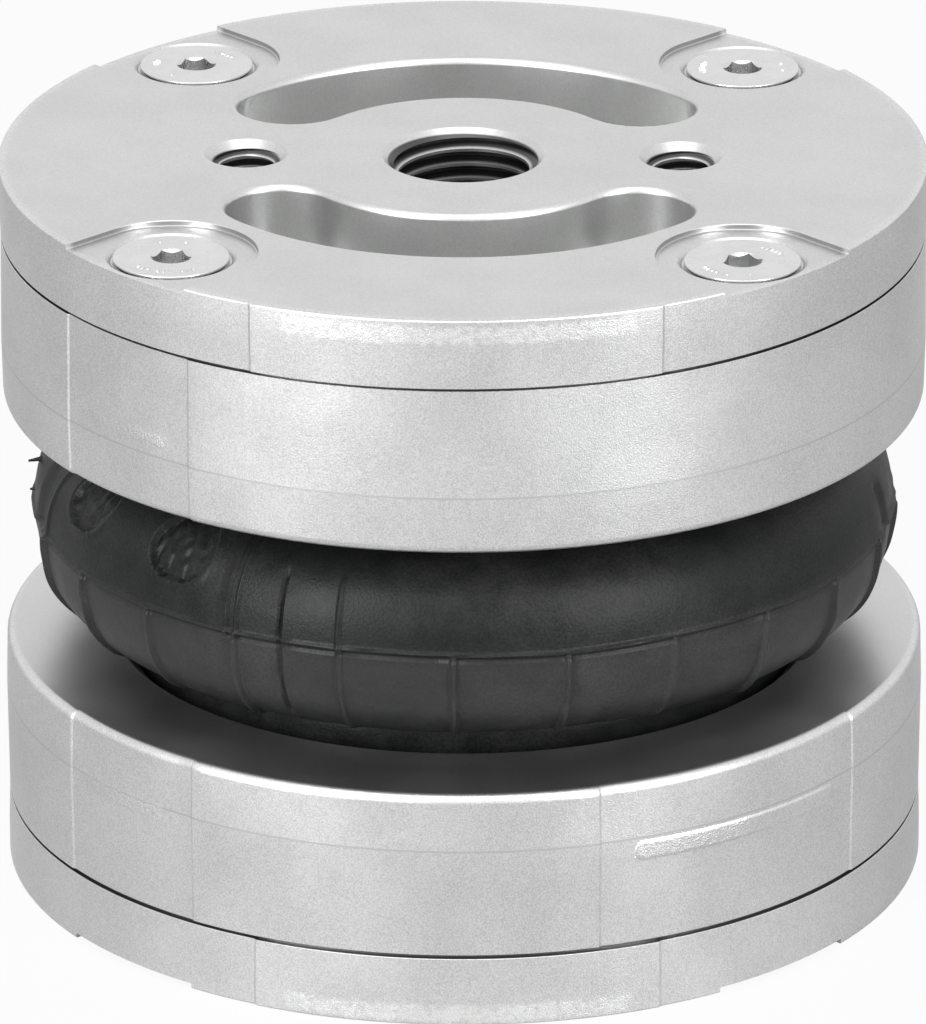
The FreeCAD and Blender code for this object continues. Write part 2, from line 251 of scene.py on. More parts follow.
class StageSettings(PropertyGroup):
    """Camera, floor and lights"""

    distance: length("Camera distance", 1000.0, "From the camera to the point it looks at")
    focal_length: share("Focal length", 403.5, "Focal length in millimetres on a 36 mm sensor")
    elevation: turn("Camera elevation", 21.903, "Angle of the camera over the horizon")
    azimuth: turn("Camera azimuth", 1.343, "Angle of the camera round the part")
    roll: turn("Camera roll", 0.102, "Turn of the camera about its line of sight")
    aim_height: length("Aim height", 30.84, "Height of the point that the camera looks at")
    aim_offset: length("Aim offset", -0.068, "How far the camera is moved sideways")
    floor_size: length("Floor size", 6000.0, "Side of the floor")
    floor_colour: share("Floor colour", 0.45, "How pale the floor is where it is lit")
    floor_white: share("Floor white", 0.93, "Share of plain white in the floor that the camera sees")
    floor_mirrored: share("Floor mirrored", 0.12, "Share of plain white in the floor that metal mirrors")
    light_aim: length("Light aim", 30.0, "Height that the lights look at")
    room_light: share("Room light", 0.55, "Even light from all round")


PIECE_GROUPS = {
    "actuator_castings": CastingSizes,
    "actuator_openings": OpeningSizes,
    "actuator_screws": ScrewSizes,
    "actuator_rubber": RubberSizes,
    "actuator_finish": FinishColours,
    "actuator_stage": StageSettings,
}


def measured(group):
    """The group's values as plain numbers, with lengths in millimetres and angles in degrees."""
    values = {}
    for prop in group.bl_rna.properties:
        if prop.type != "FLOAT":
            continue
        value = getattr(group, prop.identifier)
        if prop.is_array:
            values[prop.identifier] = tuple(value)
        elif prop.unit == "LENGTH":
            values[prop.identifier] = round(value / MM, 4)
        elif prop.unit == "ROTATION":
            values[prop.identifier] = round(math.degrees(value), 4)
        else:
            values[prop.identifier] = round(value, 5)
    return SimpleNamespace(**values)


# Curves and profiles, in millimetres and degrees

def spread(first, last, pieces):
    """Evenly spaced values from first to last, both included."""
    return [first + (last - first) * i / pieces for i in range(pieces + 1)]


def smooth(low, high, value):
    """0 below low and 1 above high, with a soft rise between them."""
    t = min(max((value - low) / (high - low), 0.0), 1.0)
    return t * t * (3 - 2 * t)


def away(first, second):
    """The angle from the first to the second, between -180 and 180."""
    return (second - first + 180.0) % 360.0 - 180.0


def arc(centre, radius, first, last, pieces=6):
    """Points along a round stretch of a profile or outline, its ends included."""
    turns = [math.radians(angle) for angle in spread(first, last, pieces)]
    return [(centre[0] + radius * math.cos(t), centre[1] + radius * math.sin(t)) for t in turns]


def polar(radius, angle, height=0.0):
    return Vector((radius * math.cos(math.radians(angle)), radius * math.sin(math.radians(angle)), height))


def out_at(radius, angle, height=0.0):
    """Moves a piece out by the radius and up by the height, then round the axis by the angle."""
    return Matrix.Rotation(math.radians(angle), 4, "Z") @ Matrix.Translation((radius, 0, height))


def toward(around, elevation):
    """The direction from the part to a place at an angle round it, where 0 is the front."""
    around, elevation = math.radians(around), math.radians(elevation)
    level = math.cos(elevation)
    return Vector((math.sin(around) * level, -math.cos(around) * level, math.sin(elevation)))


def columns(step, extras=()):
    """Angles all round at about the step, with the extra angles taken in place of what lies too near them."""
    near = 0.35 * step
    extras = sorted({round(extra % 360.0, 3) for extra in extras})
    even = [angle for angle in spread(0.0, 360.0, round(360.0 / step))[:-1]
            if all(abs(away(angle, extra)) > near for extra in extras)]
    return sorted(even + extras)


# Meshes, in millimetres

def turned(profile, angles, closed=True):
    """A mesh made by turning a profile of radius and height about the axis, a column at each angle."""
    mesh = bmesh.new()
    turn_to_first = Matrix.Rotation(math.radians(angles[0]), 3, "Z")
    verts = [mesh.verts.new(turn_to_first @ Vector((radius, 0, height))) for radius, height in profile]
    pairs = list(zip(verts, verts[1:]))
    if closed:
        pairs.append((verts[-1], verts[0]))
    geom = verts + [mesh.edges.new(pair) for pair in pairs]
    for here, there in zip(angles, angles[1:] + [angles[0] + 360.0]):
        made = bmesh.ops.spin(mesh, geom=geom, cent=(0, 0, 0), axis=UP, dvec=(0, 0, 0),
                              angle=math.radians(there - here), steps=1, use_merge=False, use_duplicate=False)
        geom = made["geom_last"]
    bmesh.ops.remove_doubles(mesh, verts=mesh.verts, dist=MERGE)
    bmesh.ops.recalc_face_normals(mesh, faces=mesh.faces)
    return mesh


def lofted(outlines):
    """A closed solid through outlines of equally many points, capped at both ends."""
    mesh = bmesh.new()
    loops = []
    for outline in outlines:
        verts = [mesh.verts.new(point) for point in outline]
        loops.append([mesh.edges.new(pair) for pair in zip(verts, verts[1:] + verts[:1])])
    for low, high in zip(loops, loops[1:]):
        bmesh.ops.bridge_loops(mesh, edges=low + high)
    for loop in (loops[0], loops[-1]):
        bmesh.ops.edgeloop_fill(mesh, edges=loop)
    bmesh.ops.recalc_face_normals(mesh, faces=mesh.faces)
    return mesh


def moved(mesh, matrix):
    """The mesh, put in its place."""
    bmesh.ops.transform(mesh, matrix=matrix, verts=mesh.verts)
    return mesh


def settled(name, mesh):
    """The mesh as Blender's own mesh data."""
    data = bpy.data.meshes.new(name)
    mesh.to_mesh(data)
    mesh.free()
    return data


def placed(name, data):
    """A new object in the scene that holds the data."""
    thing = bpy.data.objects.new(name, data)
    bpy.context.scene.collection.objects.link(thing)
    return thing


def joined(meshes):
    """One mesh of several that stay apart."""
    whole = meshes[0]
    for other in meshes[1:]:
        data = settled("part", other)
        whole.from_mesh(data)
        bpy.data.meshes.remove(data)
    return whole


def carved(body, cutters):
    """The body with the cutters taken out of it. The cutters of one call stay clear of each other."""
    target = placed("body", settled("body", body))
    tool = placed("cutter", settled("cutter", joined(cutters)))
    cut = target.modifiers.new("Cut", "BOOLEAN")
    cut.operation = "DIFFERENCE"
    cut.solver = "EXACT"
    cut.object = tool
    bpy.context.view_layer.update()
    result = bpy.data.meshes.new_from_object(target.evaluated_get(bpy.context.evaluated_depsgraph_get()))
    mesh = bmesh.new()
    mesh.from_mesh(result)
    bmesh.ops.remove_doubles(mesh, verts=mesh.verts, dist=MERGE)
    for used in (target, tool):
        data = used.data
        bpy.data.objects.remove(used)
        bpy.data.meshes.remove(data)
    bpy.data.meshes.remove(result)
    return mesh


def thread_cutter(crest, root, pitch, crest_flat, depth, facets=48):
    """A spiral ridge that cuts a thread into a hole whose wall is at the crests. It starts over the face."""
    inside = 0.1  # how far the ridge starts inside the crests
    rise_of_flank = (pitch - crest_flat) / 2
    root_half = pitch / 14
    slope = (rise_of_flank - root_half) / (root - crest)
    wide = rise_of_flank + inside * slope
    profile = [(crest - inside, -wide), (root, -root_half), (root, root_half), (crest - inside, wide)]
    turns = depth / pitch + 2
    mesh = bmesh.new()
    verts = [mesh.verts.new((radius, 0, height + 1.5 * pitch)) for radius, height in profile]
    edges = [mesh.edges.new(pair) for pair in zip(verts, verts[1:] + verts[:1])]
    steps = round(turns * facets)
    bmesh.ops.spin(mesh, geom=verts + edges, cent=(0, 0, 0), axis=UP, dvec=(0, 0, -pitch / facets),
                   angle=math.radians(360.0 * steps / facets), steps=steps, use_merge=False,
                   use_duplicate=False)
    ends = [edge for edge in mesh.edges if edge.is_boundary]
    bmesh.ops.holes_fill(mesh, edges=ends, sides=0)
    bmesh.ops.recalc_face_normals(mesh, faces=mesh.faces)
    return mesh


def soft_share(angle, panels, softness):
    """How far an angle is inside the panels: 1 inside, 0 outside and soft at their edges."""
    best = 0.0
    for first, last in panels:
        inside = min(away(first, angle), away(angle, last))
        best = max(best, smooth(-softness / 2, softness / 2, inside))
    return best


def panel_columns(panels, softness):
    """Angles that a panel's soft edges need."""
    return [edge + softness * part for panel in panels for edge in panel for part in (-0.5, -0.17, 0.17, 0.5)]


def raised(mesh, panels, rise, root, softness):
    """The mesh with its outer skin moved out by the rise within the panels, or in where it is negative."""
    for vert in mesh.verts:
        radius = math.hypot(vert.co.x, vert.co.y)
        if radius < root:
            continue
        angle = math.degrees(math.atan2(vert.co.y, vert.co.x))
        grow = 1 + rise * soft_share(angle, panels, softness) / radius
        vert.co.x *= grow
        vert.co.y *= grow
    return mesh


def end_place(end, overall):
    """Where a piece goes that was modelled with the end's outer face at height 0 looking up."""
    if end == "top":
        return Matrix.Translation((0, 0, overall))
    return Matrix.Rotation(math.pi, 4, "Y")


def local_panels(end, panels):
    """Angles round the finished part as angles of the end before it is put in its place."""
    if end == "top":
        return list(panels)
    return [(180.0 - last, 180.0 - first) for first, last in panels]


def add_piece(name, mesh, material, nodes, body=None, sharp=32.0):
    """The finished object in metres, with its material, hiding the construction pieces it replaces."""
    bmesh.ops.scale(mesh, vec=(MM, MM, MM), verts=mesh.verts)
    data = settled(name, mesh)
    data.shade_smooth()
    data.set_sharp_from_angle(angle=math.radians(sharp))
    data.materials.append(material)
    piece = placed(name, data)
    even = piece.modifiers.new("Even shading", "WEIGHTED_NORMAL")
    even.mode = "FACE_AREA_WITH_ANGLE"
    even.keep_sharp = True
    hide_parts(*nodes)
    if body:
        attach(piece, body)
    return piece


# Castings

# Stretches of the sides that stand out on the covers and lie back on the rings: first and last angle
COVER_PANELS = [(-115.1, -64.1)]
RING_PANELS = {"top": [(-145.7, -124.1)], "bottom": [(-146.3, -124.2), (-71.9, -32.1)]}
# The raised bar on the lower ring's side: first and last angle, height of its middle, its own height and rise
RAISED_BAR = (-67.4, -36.0, 14.75, 1.9, 0.1)


def drilled(crest, mouth, depth):
    """Cutter for a round hole with a 45 degree mouth; the thread's crests stay at its wall."""
    point = crest / math.tan(math.radians(DRILL_POINT))
    return turned([(0, REACH_OVER), (mouth, REACH_OVER), (mouth, 0), (crest, crest - mouth), (crest, -depth),
                   (0, -depth - point)], columns(7.5), closed=False)


def kidney_outline(o, grow, height):
    """Points round the kidney pocket at the angle 0, with its wall moved out by grow."""
    half_width = (o.kidney_outer - o.kidney_inner) / 2
    centre_radius = (o.kidney_outer + o.kidney_inner) / 2
    half = o.kidney_half
    right, left = polar(centre_radius, -half), polar(centre_radius, half)
    points = arc((0, 0), o.kidney_outer + grow, -half, half, 30)[:-1]
    points += arc(left, half_width + grow, half, half + 180, 14)[:-1]
    points += arc((0, 0), o.kidney_inner - grow, half, -half, 20)[:-1]
    points += arc(right, half_width + grow, 180 - half, 360 - half, 14)[:-1]
    return [(x, y, height) for x, y in points]


def kidney_cutter(o, angle):
    """Cutter for one kidney pocket with a rounded mouth and a rounded floor."""
    mouth = arc((o.kidney_mouth, -o.kidney_mouth), o.kidney_mouth, 180, 90, 7)
    floor = arc((-o.kidney_floor, o.kidney_floor - o.kidney_depth), o.kidney_floor, 0, -80, 6)
    wall = [(o.kidney_mouth, REACH_OVER)] + mouth[::-1] + floor
    cutter = lofted([kidney_outline(o, grow, height) for grow, height in wall])
    return moved(cutter, Matrix.Rotation(math.radians(angle), 4, "Z"))


def pocket_cutter(c, o, angle):
    """Cutter for the flat pocket round a screw, open at the rim."""
    reach = c.plate_radius - c.screw_circle + REACH_OVER
    depth, edge, fillet = o.pocket_depth, o.pocket_edge, o.pocket_fillet
    wall = [(edge, REACH_OVER), (edge, 0), (0, -edge)]
    wall += arc((-fillet, fillet - depth), fillet, 0, -90, 4)
    outlines = []
    for grow, height in wall:
        radius = o.pocket_radius + grow
        outline = arc((0, 0), radius, 90, 270, 40) + [(reach, -radius), (reach, radius)]
        outlines.append([(x, y, height) for x, y in outline])
    return moved(lofted(outlines), out_at(c.screw_circle, angle))


def sink_cutter(c, o, angle):
    """Cutter for a screw's countersink and the hole that it passes through."""
    top, wide, narrow, ledge = -o.pocket_depth, o.sink_radius, o.clearance_radius, o.sink_ledge
    through, ledge_fall = -c.rim_thickness - REACH_OVER, 0.03
    profile = [(0, REACH_OVER), (wide, REACH_OVER), (wide, top), (wide - ledge, top - ledge),
               (wide - 2 * ledge, top - ledge - ledge_fall), (narrow, top - wide + narrow + ledge),
               (narrow, through), (0, through)]
    return moved(turned(profile, columns(5.0), closed=False), out_at(c.screw_circle, angle))


def screw_angle(end, number):
    """The angle of a screw of an end, taken from its construction piece."""
    low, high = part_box(f"{end}_screw_{number}")
    centre = (low + high) / 2
    return math.degrees(math.atan2(centre.y, centre.x))


def screw_places(end):
    """The directions of an end's screws from the axis, before the end is put in its place."""
    return [end_place(end, 0).to_3x3() @ polar(1, screw_angle(end, number)) for number in SCREW_NUMBERS]


def cover_mesh(end, c, o):
    """A cover plate with all its openings."""
    softness = math.degrees(c.step_softness / c.plate_radius)
    panels = local_panels(end, COVER_PANELS)
    radius, rounding, seam_radius = c.plate_radius, c.rim_rounding, c.plate_radius - c.draft
    rim, edge, spigot, chamfer = -c.rim_thickness, c.seam_edge, c.spigot_radius, c.spigot_chamfer
    gap, gap_floor, centre = rim + c.seam_gap, radius - c.seam_depth, -c.centre_thickness
    witness, half_mark = o.witness_radius, o.witness_width / 2
    profile = [(0, 0), (witness - half_mark, 0), (witness, -o.witness_depth), (witness + half_mark, 0)]
    profile += arc((radius - rounding, -rounding), rounding, 90, 0, 4)
    profile += [(radius, -c.lean_start), (seam_radius, gap + edge), (seam_radius - edge, gap),
                (gap_floor, gap), (gap_floor, rim), (spigot, rim), (spigot, centre + chamfer),
                (spigot - chamfer, centre), (0, centre)]
    body = turned(profile, columns(2.5, panel_columns(panels, softness)), closed=False)
    body = raised(body, panels, c.step, radius - 1.0, softness)
    angles = [math.degrees(math.atan2(p.y, p.x)) for p in screw_places(end)]
    holes, threads = [], []
    for side in (-1, 1):
        place = Matrix.Translation((side * o.hole_offset, 0, 0))
        holes.append(moved(drilled(o.hole_crest, o.hole_mouth, o.hole_depth), place))
        threads.append(moved(thread_cutter(o.hole_crest, o.hole_radius, o.hole_pitch, o.hole_crest_flat,
                                           o.hole_depth - 2), place))
    first = [kidney_cutter(o, 90), kidney_cutter(o, -90)] + holes + [pocket_cutter(c, o, a) for a in angles]
    if end == "top":
        first.append(drilled(o.port_crest, o.port_mouth, c.centre_thickness + REACH_OVER))
        threads.append(thread_cutter(o.port_crest, o.port_radius, o.port_pitch, o.port_crest_flat,
                                     c.centre_thickness + o.port_pitch))
    body = carved(body, first)
    body = carved(body, threads + [sink_cutter(c, o, a) for a in angles])
    return moved(body, end_place(end, c.overall))


def raised_bar(c, first, last, height, tall, rise):
    """A low rounded bar along the ring's side, modelled in its place on the finished part."""
    corner, bevel, inside, ends = 0.35, 0.03, 0.4, 1.2
    low, high = height - tall / 2, height + tall / 2
    side = c.plate_radius - c.step
    foot, top, root = side - 0.02, side + rise, c.plate_radius - inside
    profile = [(root, low), (foot, low), (top - bevel, low + corner * 0.6), (top, low + corner),
               (top, high - corner), (top - bevel, high - corner * 0.6), (foot, high), (root, high)]
    steps = [first + ends * (1 - math.cos(math.radians(t))) for t in spread(0, 90, 5)]
    angles = steps + spread(first + ends, last - ends, 20)[1:-1]
    angles += [first + last - angle for angle in steps[::-1]]
    outlines = []
    for angle in angles:
        near_end = min(angle - first, last - angle) / ends
        size = math.sqrt(max(0.02, 1 - (1 - min(near_end, 1)) ** 2))
        outlines.append([polar(foot + (radius - foot) * (size if radius > foot else 1), angle,
                               height + (level - height) * size) for radius, level in profile])
    return lofted(outlines)


def ring_mesh(end, c):
    """A clamp ring with its bead seat, lip, throat and tapped holes."""
    softness = math.degrees(c.step_softness / c.plate_radius)
    panels = local_panels(end, RING_PANELS[end])
    seam, face = -c.rim_thickness, -c.ring_top
    low, full, edge, throat = c.plate_radius - c.draft, c.plate_radius, c.edge_rounding, c.throat_chamfer
    parting = seam - c.parting
    seat = seam - c.bead_seat_depth
    profile = [(c.bead_seat_radius, seam), (low - c.seam_edge, seam), (low, seam - c.seam_edge)]
    profile += [(full, parting + c.parting_width / 2), (full - c.parting_depth, parting),
                (full, parting - c.parting_width / 2)]
    profile += arc((low - edge, face + edge), edge, 0, -90, 9)
    profile += [(c.lip_radius + throat, face), (c.lip_radius, face + throat)]
    profile += [(c.lip_radius, seat - c.lip_chamfer), (c.lip_radius + c.lip_chamfer, seat),
                (c.bead_seat_radius, seat)]
    body = turned(profile, columns(2.5, panel_columns(panels, softness)))
    body = raised(body, panels, -c.step, c.plate_radius - 1.2, softness)
    hole, mouth = c.tapped_radius, 0.6
    tip = hole * 0.6
    holes = []
    for across in screw_places(end):
        profile = [(0, REACH_OVER), (hole + mouth, REACH_OVER), (hole + mouth, 0), (hole, -mouth),
                   (hole, -c.tapped_depth), (0, -c.tapped_depth - tip)]
        place = Matrix.Translation((*(across * c.screw_circle).xy, seam))
        holes.append(moved(turned(profile, columns(10.0), closed=False), place))
    body = moved(carved(body, holes), end_place(end, c.overall))
    if end == "bottom":
        body = joined([body, raised_bar(c, *RAISED_BAR)])
    return body


# Screws

# For each screw, by end and quarter of the plate: the turn of its socket, and the angles of its raised marks
SCREW_LOOKS = {
    ("top", "front left"): (0.0, (-128.0, -97.0, -65.0), (71.0, 109.0)),
    ("top", "front right"): (12.0, (35.0, 52.0, -118.0, -142.0), (-80.0,)),
    ("top", "back left"): (8.0, (38.0, 58.0, 175.0), (-125.0,)),
    ("top", "back right"): (3.0, (168.0, -166.0), (-12.0, 16.0)),
    ("bottom", "front left"): (20.0, (60.0, 82.0), (-100.0,)),
    ("bottom", "front right"): (41.0, (-30.0, -52.0), (120.0,)),
    ("bottom", "back left"): (27.0, (140.0, 162.0), (-20.0,)),
    ("bottom", "back right"): (5.0, (200.0, 225.0), (45.0,)),
}


# The dashes of one mark: turn from its middle, and size
DASHES = ((-8, 0.8), (0, 1.0), (8, 0.7))


def quarter(angle):
    """The words for a screw's place, as SCREW_LOOKS names it."""
    spot = polar(1, angle)
    return f"{'front' if spot.y < 0 else 'back'} {'left' if spot.x < 0 else 'right'}"


def pill(s, radius, angle, size=1.0):
    """A low raised dash on the head, pointing outwards from the screw's axis."""
    mesh = bmesh.new()
    bmesh.ops.create_uvsphere(mesh, u_segments=10, v_segments=6, radius=1.0)
    shape = Matrix.Diagonal((s.mark_length * size / 2, s.mark_width / 2, s.mark_height, 1))
    return moved(mesh, out_at(radius, angle) @ shape)


def screw_mesh(s, socket_turn, marks, nubs):
    """A countersunk screw with its head up at height 0, and with plain raised dashes on the head."""
    head, land, edge, thread = s.head_radius, s.head_land, s.head_edge, s.thread_radius
    cone_end = -land - head + thread
    profile = [(0, 0)] + arc((head - edge, -edge), edge, 90, 0, 3) + [(head, -land), (thread, cone_end)]
    here = cone_end - s.plain_shank
    while here > s.thread_pitch - s.screw_length:
        profile += [(thread, here), (thread - s.thread_depth, here - s.thread_pitch / 2)]
        here -= s.thread_pitch
    profile += [(thread - s.thread_depth, -s.screw_length), (0, -s.screw_length)]
    body = turned(profile, columns(6.0), closed=False)
    across = s.socket_across / 2
    corner = across / math.cos(math.radians(30))
    worn, point_share, point_depth = 0.02, 0.4, 0.5  # wear at the socket's mouth, and its drilled floor
    mouth, inner = corner + worn, across - worn
    profile = [(0, REACH_OVER), (mouth, REACH_OVER), (mouth, 0), (inner, inner - mouth), (0, inner - mouth)]
    cone = turned(profile, columns(6.0), closed=False)
    hexagon = [polar(corner, 60 * i + socket_turn) for i in range(6)]
    walls = [(1.0, REACH_OVER), (1.0, -s.socket_depth), (point_share, -s.socket_depth - point_depth)]
    socket = lofted([[(spot.x * grow, spot.y * grow, height) for spot in hexagon] for grow, height in walls])
    body = carved(carved(body, [cone]), [socket])
    raised_marks = []
    for angle in marks:
        raised_marks += [pill(s, s.mark_radius, angle + shift, size) for shift, size in DASHES]
    raised_marks += [pill(s, s.mark_radius, angle, 0.45) for angle in nubs]
    return joined([body] + raised_marks)


# Bellows

# Raised or sunken lines down the rubber's upper half: angle, width, height, lowest and highest point
UPPER_LINES = [
    (-121.3, 0.4, 0.26, 32.0, 41.0),
    (-119.7, 0.4, 0.26, 32.0, 41.0),
    (-105.2, 0.5, 0.22, 32.0, 38.6),
    (-113.4, 0.45, -0.35, 25.0, 38.6),
    (-167.0, 2.4, -0.4, 32.0, 41.0),
    (-162.5, 0.6, 0.2, 32.0, 41.0),
    (-12.0, 1.6, -0.35, 31.0, 37.0),
    (55.0, 0.5, 0.2, 32.0, 40.0),
    (128.0, 0.5, 0.2, 32.0, 40.0),
]
# Round inserts of the mould that leave a sunken disc: angle, height and radius
MOULD_DISCS = [(-152.2, 38.45, 3.3), (-131.0, 38.15, 3.4)]
# A disc's depth, how much its floor varies, and its raised rim: height, distance from the disc and width
DISC_DEPTH, DISC_UNEVEN = 0.45, 0.3
DISC_RIM = (0.14, 0.25, 0.9)
# Heights over the bellows' middle between which the upper half's step fades out
STEP_FADE = (5.0, 8.5)
# Nibs of torn flash: angle, height and length
NIBS = [(-178.0, 36.0, 0.7), (-178.5, 33.2, 0.5)]
# How the torn rib wanders up and down, and how its height varies: each a size and how often it changes
RIB_WANDER = ((0.22, 2.3), (0.08, 14.0))
RIB_TEARS = ((0.55, 9.0), (0.35, 33.0))


def skin(c, r, depth):
    """The bellows' outer skin moved in by a depth, as many points from the lower to the upper end."""
    middle = c.overall / 2
    belly = r.belly_radius - r.belly_curve
    rise = r.half_height - r.shoulder_curve
    out = math.sqrt((r.belly_curve - r.shoulder_curve) ** 2 - rise ** 2)
    shoulder = belly + out
    foot = shoulder - r.neck_radius
    meet = math.degrees(math.atan2(rise, out))
    lower = [(r.neck_radius - depth, c.rim_thickness + r.clearance)]
    lower += arc((shoulder, middle - r.half_height - foot), foot + depth, 180, 90, 200)
    lower += arc((shoulder, middle - rise), r.shoulder_curve - depth, -90, -meet, 260)
    lower += arc((belly, middle), r.belly_curve - depth, -meet, 0, 160)
    return lower + [(radius, 2 * middle - height) for radius, height in lower[::-1]][1:]


def thinned(points, spacing):
    """The points of a finely drawn path that lie about one spacing apart, its ends included."""
    kept = [points[0]]
    walked = 0.0
    for here, there in zip(points, points[1:]):
        walked += math.dist(here, there)
        if walked >= spacing(there[1]):
            kept.append(there)
            walked = 0.0
    if kept[-1] != points[-1]:
        kept.append(points[-1])
    return kept


def ridge(distance, width):
    """1 on a line's middle, falling softly to 0 at its edges."""
    return 1.0 - smooth(0.15 * width, 0.5 * width, abs(distance))


def parting_place(angle):
    """How far the torn rib is off its height at an angle, and what share of its full height it has there."""
    spot = polar(1, angle)
    wander = sum(size * noise.noise(spot * often) for size, often in RIB_WANDER)
    (slow, slow_often), (quick, quick_often) = RIB_TEARS
    tall = 0.75 + slow * noise.noise(spot * slow_often + UP * 5) + quick * noise.noise(spot * quick_often)
    return wander, min(max(tall, 0.25), 1.35)


def millimetres_per_degree(r):
    """The length of one degree round the belly."""
    return math.radians(1) * r.belly_radius


def rib_lift(r, angle, height, low, high):
    """The height of the ribs down the lower half at one place, each rib a little uneven."""
    spacing = r.rib_spacing
    number = round((angle - r.first_rib) / spacing)
    nearest = (angle - r.first_rib + spacing / 2) % spacing - spacing / 2
    fade = smooth(low, low + 1.4, height) * (1 - smooth(high - 0.4, high, height))
    uneven = 1 + 0.25 * math.sin(number * 2.4) + 0.3 * noise.noise(Vector((number, height * 0.3, 0)))
    waver = 0.12 * noise.noise(Vector((number, height * 0.5, 3)))
    return r.rib_height * uneven * ridge(nearest * millimetres_per_degree(r) + waver, r.rib_width) * fade


def relief(c, r, angle, height):
    """How far the moulded detail lifts the rubber's outer skin at one place."""
    middle = c.overall / 2
    around = millimetres_per_degree(r)
    wander, tall = parting_place(angle)
    parting = middle + r.parting_rise + wander
    lift = rib_lift(r, angle, height, middle - r.rib_start, parting)
    lift = max(lift, r.parting_height * tall * ridge(height - parting, r.parting_width))
    fade_from, fade_to = STEP_FADE
    upper_half = smooth(parting - 0.2, parting + 0.05, height)
    lift += r.upper_step * upper_half * (1 - smooth(middle + fade_from, middle + fade_to, height))
    lift -= r.under_groove * ridge(height - parting + r.groove_place, r.groove_width)
    for line, width, rise, low, high in UPPER_LINES:
        span = smooth(low, low + 0.6, height) * (1 - smooth(high - 0.7, high, height))
        waver = 0.08 * noise.noise(Vector((line, height * 0.8, 1)))
        lift += rise * span * ridge(away(line, angle) * around + waver, width * 1.3)
    for disc, level, size in MOULD_DISCS:
        reach = math.hypot(away(disc, angle) * around * 0.95, (height - level) * 1.3)
        sunken = DISC_UNEVEN * noise.noise(Vector((angle * 0.9, height * 1.1, disc))) - DISC_DEPTH
        rim_height, rim_place, rim_width = DISC_RIM
        lift += sunken * (1 - smooth(size - 0.3, size, reach))
        lift += rim_height * ridge(reach - size - rim_place, rim_width)
    return lift


def rubber_columns(r):
    """Column angles that are close together at the ribs and the moulded marks."""
    degree = millimetres_per_degree(r)
    half = r.rib_width / 2 / degree
    extras = []
    for k in range(round(360 / r.rib_spacing)):
        rib = r.first_rib + k * r.rib_spacing
        extras += [rib + half * part for part in (-1.15, -0.75, -0.4, 0, 0.4, 0.75, 1.15)]
    for line, width, *_ in UPPER_LINES:
        half = width * 0.65 / degree
        extras += [line + half * part for part in (-1.1, -0.6, 0, 0.6, 1.1)]
    for disc, _, size in MOULD_DISCS:
        half = size / degree
        extras += spread(disc - half * 1.15, disc + half * 1.15, 36)
    return columns(3.0, extras)


def rubber_shell(c, r, outside_depth, inside_depth, beads=False, spacing=lambda height: 0.8, angles=None):
    """One closed layer of the bellows' wall."""
    outside = thinned(skin(c, r, outside_depth), spacing)
    inside = thinned(skin(c, r, inside_depth), lambda height: 1.0)
    if beads:
        outer, corner = r.bead_radius, r.bead_corner
        low = c.rim_thickness + r.clearance
        high = low + r.bead_height
        bead = [(outer - corner, low), (outer, low + corner), (outer, high - corner), (outer - corner, high),
                (r.neck_radius, high)]
        above = [(radius, c.overall - height) for radius, height in bead[::-1]]
        outside = bead + [point for point in outside if high < point[1] < c.overall - high] + above
    return turned(outside + inside[::-1], angles or columns(4.0))


def bellows_cover(c, r):
    """The outer rubber with its beads, ribs, torn parting rib, moulded lines and nibs of flash."""
    middle = c.overall / 2
    parting = middle + r.parting_rise

    def spacing(height):
        """Rows close together at the torn rib, and far apart in the necks."""
        if abs(height - parting) < 1.0:
            return 0.11
        return 0.3 if abs(height - middle) < r.half_height else 1.2

    mesh = rubber_shell(c, r, 0.0, r.cover_thickness, True, spacing, rubber_columns(r))
    mesh.normal_update()
    moves = []
    for vert in mesh.verts:
        radius = math.hypot(vert.co.x, vert.co.y)
        outwards = vert.normal.x * vert.co.x + vert.normal.y * vert.co.y + vert.normal.z * (vert.co.z - middle)
        if abs(vert.co.z - middle) > r.half_height - 0.05 or radius < r.bead_radius + 0.5 or outwards < 0:
            continue
        angle = math.degrees(math.atan2(vert.co.y, vert.co.x))
        moves.append((vert, vert.normal * relief(c, r, angle, vert.co.z)))
    for vert, move in moves:
        vert.co += move
    lean = Matrix.Rotation(math.radians(100), 4, "Y")
    nibs = []
    for angle, height, size in NIBS:
        nib = bmesh.new()
        bmesh.ops.create_cone(nib, cap_ends=True, segments=8, radius1=0.25, radius2=0.1, depth=size + 0.6)
        nibs.append(moved(nib, out_at(r.belly_radius, angle, height) @ lean))
    return joined([mesh] + nibs)


# Materials

def add(tree, kind, inputs=None, **settings):
    """A shader node with its own settings, its inputs fed by values or by other nodes' outputs."""
    node = tree.nodes.new(kind)
    for name, value in settings.items():
        setattr(node, name, value)
    for name, value in (inputs or {}).items():
        socket = node.inputs[name]
        if isinstance(value, bpy.types.NodeSocket):
            tree.links.new(value, socket)
        else:
            socket.default_value = value
    return node


def work(tree, operation, *values):
    """The output of a math node fed by the values."""
    return add(tree, "ShaderNodeMath", dict(enumerate(values)), operation=operation).outputs[0]


def times(tree, first, *others):
    """The product of values."""
    for other in others:
        first = work(tree, "MULTIPLY", first, other)
    return first


def length_of(tree, x, y):
    """The length of a line with the sides x and y."""
    return work(tree, "SQRT", work(tree, "ADD", times(tree, x, x), times(tree, y, y)))


def ramp(tree, value, low, high, start=0.0, end=1.0):
    """The value taken smoothly from low..high to start..end."""
    node = add(tree, "ShaderNodeMapRange", {"Value": value, "From Min": low, "From Max": high, "To Min": start,
                                            "To Max": end}, interpolation_type="SMOOTHSTEP")
    return node.outputs["Result"]


